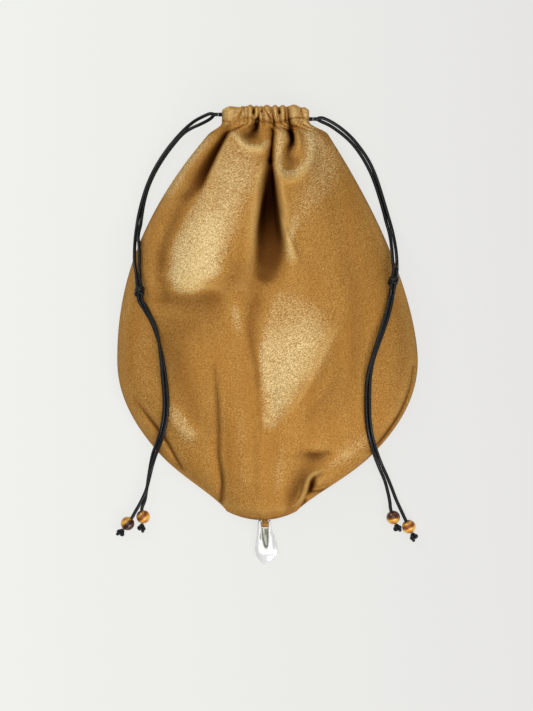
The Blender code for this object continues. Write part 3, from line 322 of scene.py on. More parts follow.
# Painted light on the satin: strokes of the same kind, a painted highlight where they rise above 0 (up to 1),
# and painted shade, down to near black painted shadow, where they fall below 0
PAINTED_LIGHT_STROKES = (
    # painted highlight on the left lobe, and painted light between the crease and the pleat
    (2.6, ((-36, 80, 0.3, 9, 7), (-37, 66, 0.55, 14, 11), (-40, 53, 0.74, 17, 14), (-44, 42, 0.95, 12),
        (-46, 36, 0.95, 9))),
    (2.2, ((-22, 76, 0.2, 6), (-27, 66, 0.34, 9, 8), (-33, 52, 0.22, 10, 6))),
    (2.6, ((-58, 37.5, 0.25, 3, 4), (-46, 37, 0.2, 3, 6), (-33, 37.5, 0.32, 3, 8))),
    (2.2, ((-25, 112, 0.22, 6, 7), (-27, 98, 0.26, 8, 9), (-27, 86, 0.2, 9, 10), (-22, 70, 0.1, 8))),
    (2, ((-31, 117, 0.2, 3), (-39, 111, 0.4, 4, 3.5), (-48, 100, 0.4, 4.5, 4), (-56, 87, 0.25, 5))),
    # painted highlight on the facet right of the middle, and smaller painted highlights
    (2.6, ((0, 26, 0.14, 8), (11, 14, 0.26, 15), (18, 2, 0.52, 21, 15), (15, -10, 0.6, 19, 13),
        (10, -22, 0.58, 14, 10), (6, -35, 0.52, 8, 6.5), (1.5, -46, 0.36, 5, 4.5))),
    (2, ((2, 4, 0.2, 5), (-1, -10, 0.26, 4), (0, -28, 0.2, 3, 4))),
    (2, ((-24, 26, 0.2, 5, 6), (-18, 14, 0.3, 5), (-12, -2, 0.2, 3), (-8, -16, 0.25, 3))),
    (2, ((-54, -41, 0.26, 4), (-45, -54, 0.4, 4.5))),
    (2, ((34, -74, 0.1, 3, 5), (46, -67, 0.18, 3.5, 5), (57, -58, 0.12, 4, 6))),
    (2, ((25, 118, 0.25, 4), (36, 104, 0.15, 7), (28, 88, 0.18, 9), (18, 70, 0.12, 8))),
    (2, ((16, 68, 0.2, 2.2, 1.6), (12.5, 56, 0.45, 2.2, 1.8), (14, 48, 0.35, 3, 2.4))),
    (2, ((-70, 10, 0.05, 5), (-73, -15, 0.08, 6), (-70, -34, 0.05, 5))),
    # painted shade in the crease on the left and in the band below it
    (2, ((-22.5, 122, -0.6, 2.2, 1), (-24.4, 118, -1.3, 3.4, 1), (-29.5, 108, -1.5, 4.6, 1.1),
        (-34.6, 97.5, -1.35, 6, 1.2), (-39, 89, -1, 7, 1.8), (-46, 83, -0.4, 5, 4))),
    (2, ((-46, 83, -0.3, 5, 4), (-54, 66, -0.5, 4.5, 4), (-60.5, 49, -0.55, 4.5, 4), (-61, 36, -0.45, 4),
        (-58, 25, -0.2, 5, 4))),
    (2, ((-62, 24, -0.3, 4, 3), (-46, 23, -0.35, 7, 4), (-28, 24, -0.2, 8, 5))),
    # painted shadow in the central pleat and its fading foot
    (1.8, ((3.8, 125.5, -0.9, 0.9), (2.6, 114, -1.2, 0.9), (1.7, 104, -1.5, 1.4))),
    (6, ((1.8, 103, -0.9, 1.2, 1.3), (1.9, 97, -1.4, 2.2), (1.5, 88, -1.45, 3.4, 3.6),
        (0.9, 76, -1.38, 5.6, 5.8), (0.9, 66, -1.22, 7.2, 7.4), (1.1, 56, -0.98, 8, 8.4),
        (0.6, 46, -0.8, 8, 8.5), (-0.6, 39, -0.46, 7))),
    (2, ((-1.5, 37, -0.3, 7, 8), (-6, 24, -0.36, 6, 7), (-10, 10, -0.38, 5), (-9, -4, -0.32, 5, 3.5),
        (-6, -16, -0.28, 4, 2), (-4.5, -26, -0.2, 3, 1.2))),
    # painted shade in the hollow under the casing, and in the slot
    (2, ((-5.6, 127.5, -1.7, 1.2, 1.1), (-6.4, 123.5, -1.6, 2.2, 1.6), (-8.6, 119, -0.7, 4, 3.4),
        (-9.4, 116, -0.3, 5, 4))),
    (2.6, ((12.6, 125.5, -1.3, 0.9), (13.8, 120.5, -1.9, 1.9, 1.5), (14.6, 115.2, -1.6, 2.1, 1.5),
        (12.2, 109, -0.6, 3.4, 2.4), (12, 102, -0.3, 5, 4))),
    # painted highlights on the neck and casing, and painted shade in the casing's folds
    (2.4, ((-13, 106, 0.22, 8), (-15, 96, 0.34, 10), (-20, 84, 0.26, 9))),
    (2, ((-20, 120, 0.25, 2.4), (-13.5, 112.8, 0.45, 2.2), (-6, 110.5, 0.45, 2.2), (0.4, 114, 0.3, 2))),
    (2, ((7.8, 122, 0.35, 2.2), (7.2, 110, 0.45, 2.8), (7, 99, 0.4, 3))),
    (2, ((22, 126, 0.22, 4), (26, 112, 0.18, 5), (31, 98, 0.08, 7))),
    (2, ((25.6, 114, 0.24, 2.4), (23.6, 103, 0.44, 2.6, 2), (17, 96.4, 0.52, 2.6, 2),
        (9, 95.8, 0.4, 2.2, 2))),
    (3, ((-26, 131, 0.3, 3.4), (-10, 131, 0.34, 3.4), (6, 131, 0.34, 3.4), (24, 131, 0.34, 3.4))),
    (2, ((-8, 133.4, -1.2, 0.9), (-8.2, 131.6, -2, 1.1))),
    (2, ((-3.4, 133.6, -1, 0.6), (-3.5, 132.2, -1.9, 0.7))),
    (2, ((6.7, 133.4, -1.3, 0.7), (6.9, 131.6, -2.1, 1))),
    (2, ((-5.2, 131, -0.6, 0.5), (-5.6, 128.6, -1.5, 0.8, 0.7), (-6.2, 126.6, -1.6, 1))),
    (2, ((2.6, 132.6, -0.5, 0.4), (3.2, 129.4, -1.3, 0.5), (3.8, 126.4, -1.4, 0.6))),
    (2, ((11.6, 134, -0.7, 0.4), (12, 130.4, -1.4, 0.6, 0.5), (12.5, 126.6, -1.5, 0.8))),
    (2, ((-1.6, 133.4, -0.5, 0.4), (0.6, 130, -0.9, 0.5, 0.4), (2.4, 127.4, -0.7, 0.5, 0.4))),
    (2, ((-13.4, 134.6, -0.5, 0.6, 0.4), (-15.2, 131.5, -0.9, 1, 0.5), (-16.8, 128.4, -0.7, 1.2, 0.5))),
    (2, ((9.8, 133, -0.5, 0.4), (10.4, 129.5, -0.9, 0.4), (10.4, 126.8, -0.8, 0.5))),
    (2, ((19.4, 133.8, -0.6, 0.6), (20.2, 130.6, -0.7, 0.7), (21, 128, -0.4, 0.7))),
    (2, ((-26, 127.2, -0.25, 0.5), (-20, 125.6, -0.35, 0.5), (-13.2, 128.4, -0.35, 0.5),
        (-5, 126.6, -0.5, 0.5), (4, 125.6, -0.5, 0.5), (14.5, 128, -0.55, 0.5), (20.5, 128.6, -0.4, 0.5),
        (25, 127, -0.25, 0.5))),
    # faint upright streaks of painted light and shade low on the bag
    (2, ((-38, -34, 0.03, 2), (-37, -55, 0.07, 2.4), (-34, -82, 0.03, 2))),
    (2, ((-24, -40, -0.06, 2), (-22.4, -62, -0.16, 1.8), (-21, -88, -0.08, 2))),
    (2, ((-16, -34, 0.03, 2.4), (-15, -60, 0.08, 2.6), (-13, -90, 0.04, 2.4))),
    (2, ((-7, -50, -0.05, 1.8), (-6.4, -70, -0.16, 2), (-6, -92, -0.08, 2))),
    (2, ((-10, 4, -0.1, 1.6), (-6, -24, -0.26, 1.2), (-4.6, -46, -0.22, 1), (-4, -60, -0.06, 1))),
    (2, ((8, -60, 0.05, 2.4), (7, -76, 0.14, 2.8), (5, -94, 0.05, 2.4))),
    (2, ((40, -4, -0.08, 2), (38, -24, -0.18, 2.4, 3.4), (24, -44, -0.16, 3, 4))),
    # painted shade on flat stretches
    (2, ((-30, 40, -0.05, 6), (-18, 40, -0.26, 8), (-32, 16, -0.22, 10), (-46, 8, -0.28, 10, 9))),
    (2, ((-60, 12, -0.18, 7), (-54, -8, -0.38, 9), (-48, -26, -0.26, 8), (-36, -52, -0.22, 6))),
    (2, ((50, 40, -0.1, 7), (53, 4, -0.16, 6), (46, -24, -0.15, 7), (34, -44, -0.1, 8))),
    (2, ((78, 20, -0.15, 6), (79, -8, -0.22, 6), (74, -34, -0.12, 5))),
    # painted shade in the long crease, the crumple and the seams
    (1.6, ((-30.6, -14, -0.12, 1.4, 1.2), (-29.2, -32, -0.4, 1.8, 1.4), (-28.2, -50, -0.4, 2, 1.4),
        (-28.6, -66, -0.35, 1.4, 1.6), (-26.4, -82, -0.5, 1.2, 2.4), (-26.8, -94, -0.55, 1.2, 1.4))),
    (2, ((19, -66, -0.25, 4, 1.4), (27, -66.2, -0.65, 3.4, 1.4), (35, -65, -0.4, 3, 1.4))),
    (2, ((30, -71, -0.25, 4), (22, -76, -0.45, 5), (16, -87, -0.6, 4.6, 3.4), (12.5, -97, -0.35, 4, 3))),
    (2, ((29.6, -77, -0.5, 1.2, 2.2), (26.4, -80.5, -0.7, 1.6, 1.8), (25.6, -84.6, -1.4, 1.7, 1.4),
        (24, -88.5, -0.6, 1.4, 1.2))),
    (2, ((25.5, -87.8, -0.9, 0.9, 0.8), (31, -87, -0.8, 0.9, 0.8), (37, -85, -0.3, 0.9, 0.8))),
    (2, ((21.8, -93, -0.9, 1.2, 1), (20.2, -96.6, -1, 1.2, 1))),
    (2, ((-76, -36, -0.2, 1.4), (-70.5, -42.8, -0.45, 1.3, 1.4), (-63, -52.4, -0.65, 1.1),
        (-57, -61.4, -0.6, 1), (-51.6, -71.6, -0.75, 0.9), (-49, -75, -0.4, 0.8))),
    (2, ((84.6, -15, -0.3, 0.9), (82.4, -28, -0.55, 0.9), (77.6, -40.5, -0.75, 1), (71.4, -50.8, -0.85, 1),
        (64.2, -60, -0.75, 1), (59.5, -64.8, -0.3, 0.9))),
)
BACK_RUFFLES = ((-20, 0.9, 2.2), (-12.5, 0.8, 2), (-5.5, 1, 2), (2, 0.8, 2), (9.5, 1, 2.2), (17, 0.9, 2))

# Colours of the satin: its own browns and golds, the painted sheen highlight and glint, the painted shade in
# hollows and folds, the near black painted shadow, and the painted highlight on ridges
SATIN_BROWN = (0.29, 0.119, 0.018, 1)
SATIN_GOLD = (0.555, 0.302, 0.074, 1)
SATIN_CLOUD = (0.38, 0.155, 0.022, 1)
SATIN_PAINTED_SHEEN = (0.48, 0.29, 0.088, 1)
SATIN_PAINTED_GLINT = (0.86, 0.69, 0.36, 1)
SATIN_HOLLOW_SHADE = (0.075, 0.020, 0.0025, 1)
SATIN_PAINTED_SHADE = (0.090, 0.025, 0.003, 1)
SATIN_PAINTED_SHADOW = (0.012, 0.003, 0.001, 1)
SATIN_RIDGE_HIGHLIGHT = (0.76, 0.50, 0.17, 1)

# Floor, sky and lights
FLOOR_EVEN = 0.88  # share of the floor that the camera sees evenly lit
# Floor colours, with a painted fall-off of light from the lighter left to the darker right
FLOOR_LEFT = (0.875, 0.885, 0.845, 1.0)
FLOOR_RIGHT = (0.785, 0.778, 0.765, 1.0)
SKY = 0.38
LIGHTS_AIM = (0.0, 0.0, 10.0)
# Name, place, size, power and colour
LIGHTS = (
    ("key", (-600.0, 650.0, 560.0), (240.0, 240.0), 2.6, (1.0, 0.97, 0.93)),
    ("top", (0.0, 0.0, 1700.0), (1900.0, 1900.0), 13.5, (1.0, 0.98, 0.96)),
    ("foot", (560.0, -820.0, 750.0), (900.0, 500.0), 7.6, (1.0, 0.98, 0.96)),
)


def smooth_step(t):
    t = np.clip(t, 0.0, 1.0)
    return t * t * (3.0 - 2.0 * t)


def through(points, x):
    """Values at x of a smooth curve through (x, value) points."""
    xs, ys = np.array(points, float).T
    slopes = np.gradient(ys, xs)
    i = np.clip(np.searchsorted(xs, x) - 1, 0, len(xs) - 2)
    step = xs[i + 1] - xs[i]
    t = np.clip((x - xs[i]) / step, 0.0, 1.0)
    return (ys[i] * (1 + 2 * t) * (1 - t) ** 2 + ys[i + 1] * t * t * (3 - 2 * t)
            + step * slopes[i] * t * (1 - t) ** 2 - step * slopes[i + 1] * t * t * (1 - t))


def smooth_rows(rows, step, axes):
    """Rows about a step apart, by their first axes, on a smooth curve through the rows given."""
    rows = np.array([tuple(row) for row in rows], float)
    ends = np.vstack([2 * rows[0] - rows[1], rows, 2 * rows[-1] - rows[-2]])
    out = [rows[0]]
    for before, a, b, after in zip(ends, ends[1:], ends[2:], ends[3:]):
        count = max(1, round(math.dist(a[:axes], b[:axes]) / step))
        for i in range(1, count + 1):
            t = i / count
            out.append(0.5 * (2 * a + (b - before) * t + (2 * before - 5 * a + 4 * b - after) * t ** 2
                              + (3 * a - before - 3 * b + after) * t ** 3))
    return out


def curve_points(route, step):
    """Points about a step apart on a smooth curve through a route's own points."""
    return [Vector(point) for point in smooth_rows(route, step, 3)]


def half_widths(y):
    """Distance from X = 0 to the left and right edges of the body at heights y."""
    t = np.clip((STITCH - y) / (STITCH - WIDEST), 0.0, 1.0)
    left = LEFT_SHOULDER + (BELLY_HALF - LEFT_SHOULDER) * (1 - (1 - t) ** LEFT_SHOULDER_CURVE)
    right = RIGHT_SHOULDER + (BELLY_HALF - RIGHT_SHOULDER) * (1 - (1 - t) ** RIGHT_SHOULDER_CURVE)
    d = np.clip((WIDEST - y) / (WIDEST - BODY_BOTTOM), 0.0, 1.0)
    half = BOTTOM_HALF + (BELLY_HALF - BOTTOM_HALF) * (1 - d ** FLANK_CURVE) ** FLANK_ROUND
    below = y < WIDEST
    return (np.where(below, half - BOTTOM_LEAN * d ** 3, left),
            np.where(below, half + BOTTOM_LEAN * d ** 3, right))


def fold_rise(x, y, folds):
    """Height that the folds add at points of a panel."""
    total = np.zeros_like(x)
    for power, route in folds:
        rows = [(*row, row[3]) if len(row) == 4 else row for row in route]
        line = smooth_rows(rows, FOLD_STEP, 2)
        near = np.full(x.shape, 1e9)
        rise = np.zeros_like(x)
        width = np.ones_like(x)
        for a, b in zip(line, line[1:]):
            along = b - a
            t = ((x - a[0]) * along[0] + (y - a[1]) * along[1]) / (along[:2] @ along[:2])
            t = np.clip(t, 0.0, 1.0)
            off_x, off_y = x - a[0] - along[0] * t, y - a[1] - along[1] * t
            gap = np.hypot(off_x, off_y)
            side = (along[0] * off_y - along[1] * off_x) > 0
            closer = gap < near
            near = np.where(closer, gap, near)
            rise = np.where(closer, a[2] + along[2] * t, rise)
            half = np.where(side, a[4] + along[4] * t, a[3] + along[3] * t)
            width = np.where(closer, half, width)
        total += rise * np.exp(-(near / np.maximum(width, FOLD_NARROWEST)) ** power)
    return total


def ruffle_rise(x, ruffles):
    """Height that the gathers of the casing add at x."""
    rises = [rise * np.exp(-((x - at) / half) ** 2) for at, rise, half in ruffles]
    return np.max(rises, axis=0)


def casing_section(share, offset):
    """Points (x, height above the mouth) on half of the casing's oval, right to left."""
    arc = CASING_RADIUS * (math.pi / 2 - CASING_OPENING)
    straight = CASING_RIGHT - CASING_LEFT
    along = share * (2 * arc + straight)
    radius = CASING_RADIUS + offset
    first = CASING_OPENING + along / CASING_RADIUS
    last = math.pi / 2 + (along - arc - straight) / CASING_RADIUS
    x = np.where(along < arc, CASING_RIGHT + radius * np.cos(first),
                 np.where(along > arc + straight, CASING_LEFT + radius * np.cos(last),
                          CASING_RIGHT - (along - arc)))
    z = np.where(along < arc, radius * np.sin(first),
                 np.where(along > arc + straight, radius * np.sin(last), radius))
    return x, z


def body_section(share, y, side, folds):
    """Middle of the cloth at shares of the way round its body; side is 1 on the front."""
    left, right = half_widths(y)
    turn = np.pi * share
    x = (right - left) / 2 + (right + left) / 2 * np.cos(turn)
    seam = through(SEAM_HEIGHTS, y)
    bottom = smooth_step((y - BODY_BOTTOM) / BOTTOM_OPENS)
    tab = (1 - bottom) * TAB_LIFT * np.exp(-((x - PENDANT_X) / TAB_HALF) ** 4)
    if side > 0:
        crown = through(CROWN_HEIGHTS, y)
        rise = (crown - seam) * np.sin(turn) + fold_rise(x, y, folds) * np.sin(turn) ** FOLD_FADE * bottom
        return x, np.maximum(seam + SEAM_HALF + tab + rise, FRONT_LOWEST)
    floor = WALL / 2 + FLOOR_GAP
    drop = (seam - SEAM_HALF - tab - floor) / math.sqrt(1 - REST_EDGE ** 2)
    low = seam - SEAM_HALF - tab - drop * np.sin(turn) * smooth_step(REST_RISE * np.sin(turn)) * bottom
    return x, np.maximum(floor, low)


def panel_points(side, columns, body_rows, hem_rows, ruffles, folds):
    """Places of a panel's middle surface, as rows of (x, y, z) from the bottom to the hem."""
    even = np.linspace(0.0, 1.0, columns + 1)
    share = (EVEN_COLUMNS * even + (1 - EVEN_COLUMNS) * np.arccos(1 - 2 * even) / np.pi)[None, :]
    up = np.linspace(0.0, 1.0, body_rows)[:, None]
    up = EVEN_ROWS * up + (1 - EVEN_ROWS) * smooth_step(up)
    y = BODY_BOTTOM + (STITCH - LAST_ROW_BELOW - BODY_BOTTOM) * up
    y = np.repeat(y, columns + 1, axis=1)
    share_body = np.repeat(share, body_rows, axis=0)
    x, z = body_section(share_body, y, side, folds)
    blend = smooth_step((STITCH - y) / NECK_BLEND)
    cx, cz = casing_section(share_body, TUNNEL_HALF)
    ruffle = ruffle_rise(cx, ruffles) * (1 - smooth_step((STITCH - y) / RUFFLE_FADE))
    folded = fold_rise(cx, y, folds) * np.sin(np.pi * share_body) * FOLD_AT_CASING
    lift = cz + folded + ruffle * RUFFLE_AT_STITCH
    lift = np.maximum(lift, cz - FOLD_FREE * smooth_step((STITCH - FREE_BELOW - y) / FREE_FADE))
    casing_z = CASING_MIDDLE + side * lift
    bow = BOTTOM_BOW * (1 - smooth_step((y - BODY_BOTTOM) / BOW_REACH))
    bowed = y + bow * np.cos(np.pi * share_body) ** 2
    body = np.stack([cx + (x - cx) * blend, bowed, casing_z + (z - casing_z) * blend], axis=-1)
    rows = casing_rows(hem_rows)
    hem = []
    for height, inwards, ruffled in rows:
        end = np.abs(2 * share[0] - 1)
        offset = TUNNEL_HALF * (1 - inwards)
        if inwards > 1.0:
            slack = smooth_step((end - END_SLACK[0]) / END_SLACK[1])
            offset = offset - TUNNEL_SLACK * slack * (inwards - 1)
        hx, hz = casing_section(share[0], offset)
        drop = CASING_DROP * end ** 6 * max(0.0, (height - STITCH) / (CASING_TOP - STITCH))
        ruffle = ruffle_rise(hx, ruffles)
        lift = hz + ruffle * ruffled
        if folds and inwards < 1.0:
            folded = lift + fold_rise(hx, np.full_like(hx, height), folds) * (1 - inwards)
            lift = np.maximum(folded, hz)
        near_top = smooth_step((height - CASING_TOP + CREST_FADE) / CREST_FADE)
        crest = CREST * (ruffle / CREST_RUFFLE - CREST_MEAN) * near_top
        high = height - drop + crest * (end < CREST_END)
        hem.append(np.stack([hx, high, CASING_MIDDLE + side * lift], axis=-1))
    return np.concatenate([body, np.array(hem)], axis=0)


def casing_rows(count):
    """Rows of the casing as (height, how far turned in, share of the ruffle), outside first."""
    rows = []
    middle = CASING_TOP - TUNNEL_HALF
    for i in range(count):
        t = i / (count - 1)
        rows.append((STITCH + (middle - STITCH) * t, 0.0, RUFFLE_AT_STITCH + (1 - RUFFLE_AT_STITCH) * t))
    for i in range(1, count):
        turn = math.pi * i / (count - 1)
        inwards = 1 - math.cos(turn)
        ruffled = 1 - inwards / 2 - RUFFLE_INSIDE * inwards
        rows.append((middle + TUNNEL_HALF * math.sin(turn), inwards, ruffled))
    for t in (0.35, 0.7, 1.0):
        rows.append((middle + (STITCH + HEM_TURN - middle) * t, 2.0, -0.25))
    rows.append((HEM_FOOT + HEM_TURN, 1.1, 0.0))
    rows.append((HEM_FOOT, 0.97, 0.0))
    return rows


def hollows(places):
    """How far each place of a panel lies below the mean of its neighbours, in millimetres."""
    z = places[..., 2]
    total = np.zeros_like(z)
    for reach in HOLLOW_REACHES:
        mean = z
        for axis in (0, 1):
            sums = np.zeros_like(z)
            for step in range(-reach, reach + 1):
                beside = np.clip(np.arange(z.shape[axis]) + step, 0, z.shape[axis] - 1)
                sums += np.take(mean, beside, axis=axis)
            mean = sums / (2 * reach + 1)
        total += mean - z
    return total


def new_grid(bm, columns, rows):
    """A grid in a mesh, as each corner with its column and row."""
    corners = bmesh.ops.create_grid(bm, x_segments=columns, y_segments=rows, size=1.0)["verts"]
    return {v: (round((v.co.x + 1) / 2 * columns), round((v.co.y + 1) / 2 * rows)) for v in corners}


def close_ends(bm, corners, sides):
    """Join a rolled-up grid along its edge and cap its two ends."""
    bmesh.ops.remove_doubles(bm, verts=corners, dist=MERGE)
    bmesh.ops.holes_fill(bm, edges=[e for e in bm.edges if e.is_boundary], sides=sides)
    bmesh.ops.recalc_face_normals(bm, faces=bm.faces)


def cloth_piece(name, side, columns, body_rows, hem_rows, ruffles, folds, node, made):
    """A panel's cloth: a grid that its rows of places pull into shape, with a wall."""
    places = panel_points(side, columns, body_rows, hem_rows, ruffles, folds)
    rows = len(places)
    x, y = places[..., 0], places[..., 1]
    # Depth of each place in its hollows, which the material paints as shade, and on ridges as a highlight,
    # with less of it at the neck's bend
    flank = np.exp(-((y - NECK_BEND) / FLANK_FADE) ** 2) * smooth_step((np.abs(x) - FLANK_START) / FLANK_FADE)
    depth = hollows(places) * (1 - FLANK_HOLLOW * flank)
    # Painted highlights and painted shade from the strokes, for each place of the front
    stroke_light = fold_rise(x, y, PAINTED_LIGHT_STROKES if side > 0 else ())
    lengths = np.linalg.norm(np.diff(places, axis=0), axis=2).mean(axis=1)
    along = np.concatenate([[0.0], np.cumsum(lengths)])
    bm = bmesh.new()
    flat = bm.loops.layers.uv.new("cloth")
    hollow = bm.verts.layers.float.new("hollow")
    sheen = bm.verts.layers.float.new("sheen")
    order = new_grid(bm, columns, rows - 1)
    for face in bm.faces:
        for loop in face.loops:
            column, row = order[loop.vert]
            loop[flat].uv = (column / columns * PANEL_WIDTH * MM, along[row] * MM)
    for vert, (column, row) in order.items():
        vert.co = Vector(places[row, column]) * MM
        vert[hollow] = depth[row, column]
        vert[sheen] = stroke_light[row, column]
    if side > 0:
        bmesh.ops.reverse_faces(bm, faces=bm.faces)
    piece = placed(name, bm, "bag", made, [node], wall=WALL, even=True)
    return piece, places[body_rows]


def linked(name, data):
    """A new object in the scene."""
    made = bpy.data.objects.new(name, data)
    bpy.context.collection.objects.link(made)
    return made


def meshed(name, bm, made):
    """A finished mesh as an object with a material."""
    mesh = bpy.data.meshes.new(name)
    bm.to_mesh(mesh)
    bm.free()
    mesh.materials.append(made)
    return linked(name, mesh)


def placed(name, bm, body, made, nodes=(), smooth=60, wall=0.0, even=False):
    """A piece that rides on a body, smooth but for edges sharper than so many degrees."""
    piece = meshed(name, bm, made)
    piece.data.shade_smooth()
    piece.data.set_sharp_from_angle(angle=math.radians(smooth))
    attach(piece, body)
    if wall:
        shell = piece.modifiers.new("wall", "SOLIDIFY")
        shell.thickness = wall * MM
        shell.offset = 0.0
        shell.use_even_offset = even
    if nodes:
        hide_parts(*nodes)
    return piece


class Value:
    """A shader socket that can be used in sums; each sum adds its Math node."""

    def __init__(self, graph, socket):
        self.graph = graph
        self.socket = socket

    def _math(self, operation, first, second):
        return self.graph.node("ShaderNodeMath", {"operation": operation}, {0: first, 1: second})

    def __add__(self, other):
        return self._math("ADD", self, other)

    def __sub__(self, other):
        return self._math("SUBTRACT", self, other)

    def __mul__(self, other):
        return self._math("MULTIPLY", self, other)


class Material:
    """A material with one Principled shader, and a method that adds any other node."""

    def __init__(self, name, **fixed):
        self.data = bpy.data.materials.new(name)
        self.data.use_nodes = True
        self.tree = self.data.node_tree
        self.shader = self.tree.nodes["Principled BSDF"]
        for key, value in fixed.items():
            self.shader.inputs[key.replace("_", " ")].default_value = value

    def node(self, kind, settings=None, inputs=None, output=0):
        made = self.tree.nodes.new(kind)
        for key, value in (settings or {}).items():
            if key == "ramp":
                ramp = made.color_ramp
                while len(ramp.elements) < len(value):
                    ramp.elements.new(0.5)
                for element, (position, colour) in zip(ramp.elements, value):
                    element.position = position
                    element.color = (*colour, 1.0)
            else:
                setattr(made, key, value)
        for key, value in (inputs or {}).items():
            self.link(value, made.inputs[key])
        return Value(self, made.outputs[output])

    def link(self, value, socket):
        if isinstance(value, Value):
            self.tree.links.new(value.socket, socket)
        else:
            socket.default_value = value

    def feed(self, **inputs):
        for key, value in inputs.items():
            self.link(value, self.shader.inputs[key.replace("_", " ")])

    def object_place(self, centre=(0, 0, 0), turn=(0, 0, 0), scale=(1, 1, 1)):
        place = self.node("ShaderNodeTexCoord", output=3)
        return self.node("ShaderNodeMapping", {"vector_type": "TEXTURE"},
                         {"Vector": place, "Location": centre, "Rotation": turn, "Scale": scale})

    def layer(self, name):
        return self.node("ShaderNodeAttribute", {"attribute_name": name}, output=2)

    def noise(self, place, scale, detail, rough):
        return self.node("ShaderNodeTexNoise", {},
                         {"Vector": place, "Scale": scale, "Detail": detail, "Roughness": rough})

    def between(self, value, low, high, out_low=0.0, out_high=1.0):
        return self.node("ShaderNodeMapRange", {}, {"Value": value, "From Min": low, "From Max": high,
                                                    "To Min": out_low, "To Max": out_high})

    def blend(self, share, first, second):
        return self.node("ShaderNodeMix", {"data_type": "RGBA"},
                         {0: share, 6: first, 7: second}, output=2)

    def bump(self, height, distance, strength, under=None):
        inputs = {"Height": height, "Distance": distance, "Strength": strength}
        if under is not None:
            inputs["Normal"] = under
        return self.node("ShaderNodeBump", {}, inputs)


def gold_satin():
    """Lame satin: warm gold, with painted shade deep in its folds, painted highlights on its ridges, and a
    painted sheen broken into fine sparkle.
    """
    made = Material("gold_satin", Specular_Tint=(1.0, 0.70, 0.36, 1.0))
    place = made.object_place()
    grain = made.noise(place, 1500.0, 3.0, 0.6)
    turned = made.object_place(turn=(0, 0, math.radians(38)), scale=(1.0, 0.40, 1.0))
    slant = made.noise(turned, 900.0, 3.0, 0.55)
    cloud = made.noise(made.object_place(scale=(1.0, 2.6, 1.0)), 70.0, 3.0, 0.55)
    # how deep each place lies in a hollow: painted shade there, and a painted highlight on ridges below 0
    hollow = made.layer("hollow")
    # painted light from the strokes: highlight above 0, shade and shadow below 0
    sheen = made.layer("sheen")
    tone = made.blend(made.between(grain + slant, 0.82, 1.18), SATIN_BROWN, SATIN_GOLD)
    tone = made.blend(made.between(cloud, 0.40, 0.66, 0.0, 0.40), tone, SATIN_CLOUD)
    # painted sheen highlight, from a soft gold to a pale glint, broken up by the grain
    bright = made.blend(made.between(slant + grain, 0.84, 1.14), SATIN_PAINTED_SHEEN, SATIN_PAINTED_GLINT)
    broken = sheen + (slant - 0.5) * 1.1 + (grain - 0.5) * 0.5
    tone = made.blend(made.between(sheen, 0.0, 0.15) * made.between(broken, 0.0, 0.75), tone, bright)
    # painted shade in the hollows of the folds
    tone = made.blend(made.between(hollow, 0.25, 3.4, 0.0, 0.80), tone, SATIN_HOLLOW_SHADE)
    # painted shade where the strokes fall below 0, and near black painted shadow below -0.8
    tone = made.blend(made.between(sheen, 0.0, -0.8, 0.0, 0.86), tone, SATIN_PAINTED_SHADE)
    tone = made.blend(made.between(sheen, -0.8, -1.4, 0.0, 0.95), tone, SATIN_PAINTED_SHADOW)
    # painted highlight on the ridges
    tone = made.blend(made.between(hollow, -0.3, -1.8, 0.0, 0.30), tone, SATIN_RIDGE_HIGHLIGHT)
    made.feed(Base_Color=tone)
    # fully metallic in the painted shade, so that no pale reflection lifts it
    made.feed(Metallic=made.between(sheen, -0.2, -1.2, 0.55, 1.0))
    made.feed(Roughness=made.between(grain, 0.3, 0.7, 0.42, 0.60))
    drape = made.bump(cloud, 0.0022, 0.30)
    made.feed(Normal=made.bump(grain * 0.7 + slant * 1.2, 0.00045, 0.75, drape))
    return made.data


def black_cord():
    """Waxed cord: near black, with the fine slant of its twist."""
    made = Material("black_cord", Specular_IOR_Level=0.30)
    along = made.node("ShaderNodeUVMap", {"uv_map": "cord"})
    twist = made.node("ShaderNodeTexWave", {"wave_type": "BANDS", "bands_direction": "DIAGONAL"},
                      {"Vector": along, "Scale": 2.2, "Distortion": 0.6, "Detail": 1.0})
    wear = made.noise(made.object_place(), 400.0, 3.0, 0.6)
    made.feed(Base_Color=made.blend(made.between(wear, 0.4, 0.7), (0.0012, 0.0016, 0.0020, 1),
                                    (0.0030, 0.0042, 0.0055, 1)))
    made.feed(Roughness=made.between(wear, 0.3, 0.7, 0.24, 0.36))
    made.feed(Normal=made.bump(twist + wear * 0.4, 0.00005, 0.3))
    return made.data


def tiger_eye(name, centre, turn, dark_from):
    """Polished stone with amber bands, near black beyond dark_from along its turned Y axis."""
    made = Material(name, Roughness=0.12, Specular_IOR_Level=0.35, Coat_Weight=0.35, Coat_Roughness=0.05)
    place = made.object_place(centre, (0, 0, turn))
    warp = made.noise(place, 260.0, 3.0, 0.55)
    bands = made.node("ShaderNodeTexWave", {"wave_type": "BANDS", "bands_direction": "Y"},
                      {"Vector": place, "Scale": 85.0, "Distortion": 6.0, "Detail": 2.0,
                       "Detail Scale": 1.2})
    split = made.node("ShaderNodeSeparateXYZ", {}, {"Vector": place}, output=1)
    side = made.between(split + (warp - 0.5) * 0.004, (dark_from - 1.5) * MM, (dark_from + 1.5) * MM)
    amber = made.node("ShaderNodeValToRGB",
                      {"ramp": ((0.0, (0.17, 0.036, 0.004)), (0.35, (0.38, 0.115, 0.007)),
                                (0.7, (0.58, 0.235, 0.014)), (1.0, (0.76, 0.42, 0.060)))}, {"Fac": bands})
    dark = made.node("ShaderNodeValToRGB",
                     {"ramp": ((0.0, (0.004, 0.001, 0.0005)), (0.6, (0.030, 0.009, 0.003)),
                               (1.0, (0.12, 0.040, 0.010)))}, {"Fac": bands})
    made.feed(Base_Color=made.blend(side, amber, dark))
    return made.data


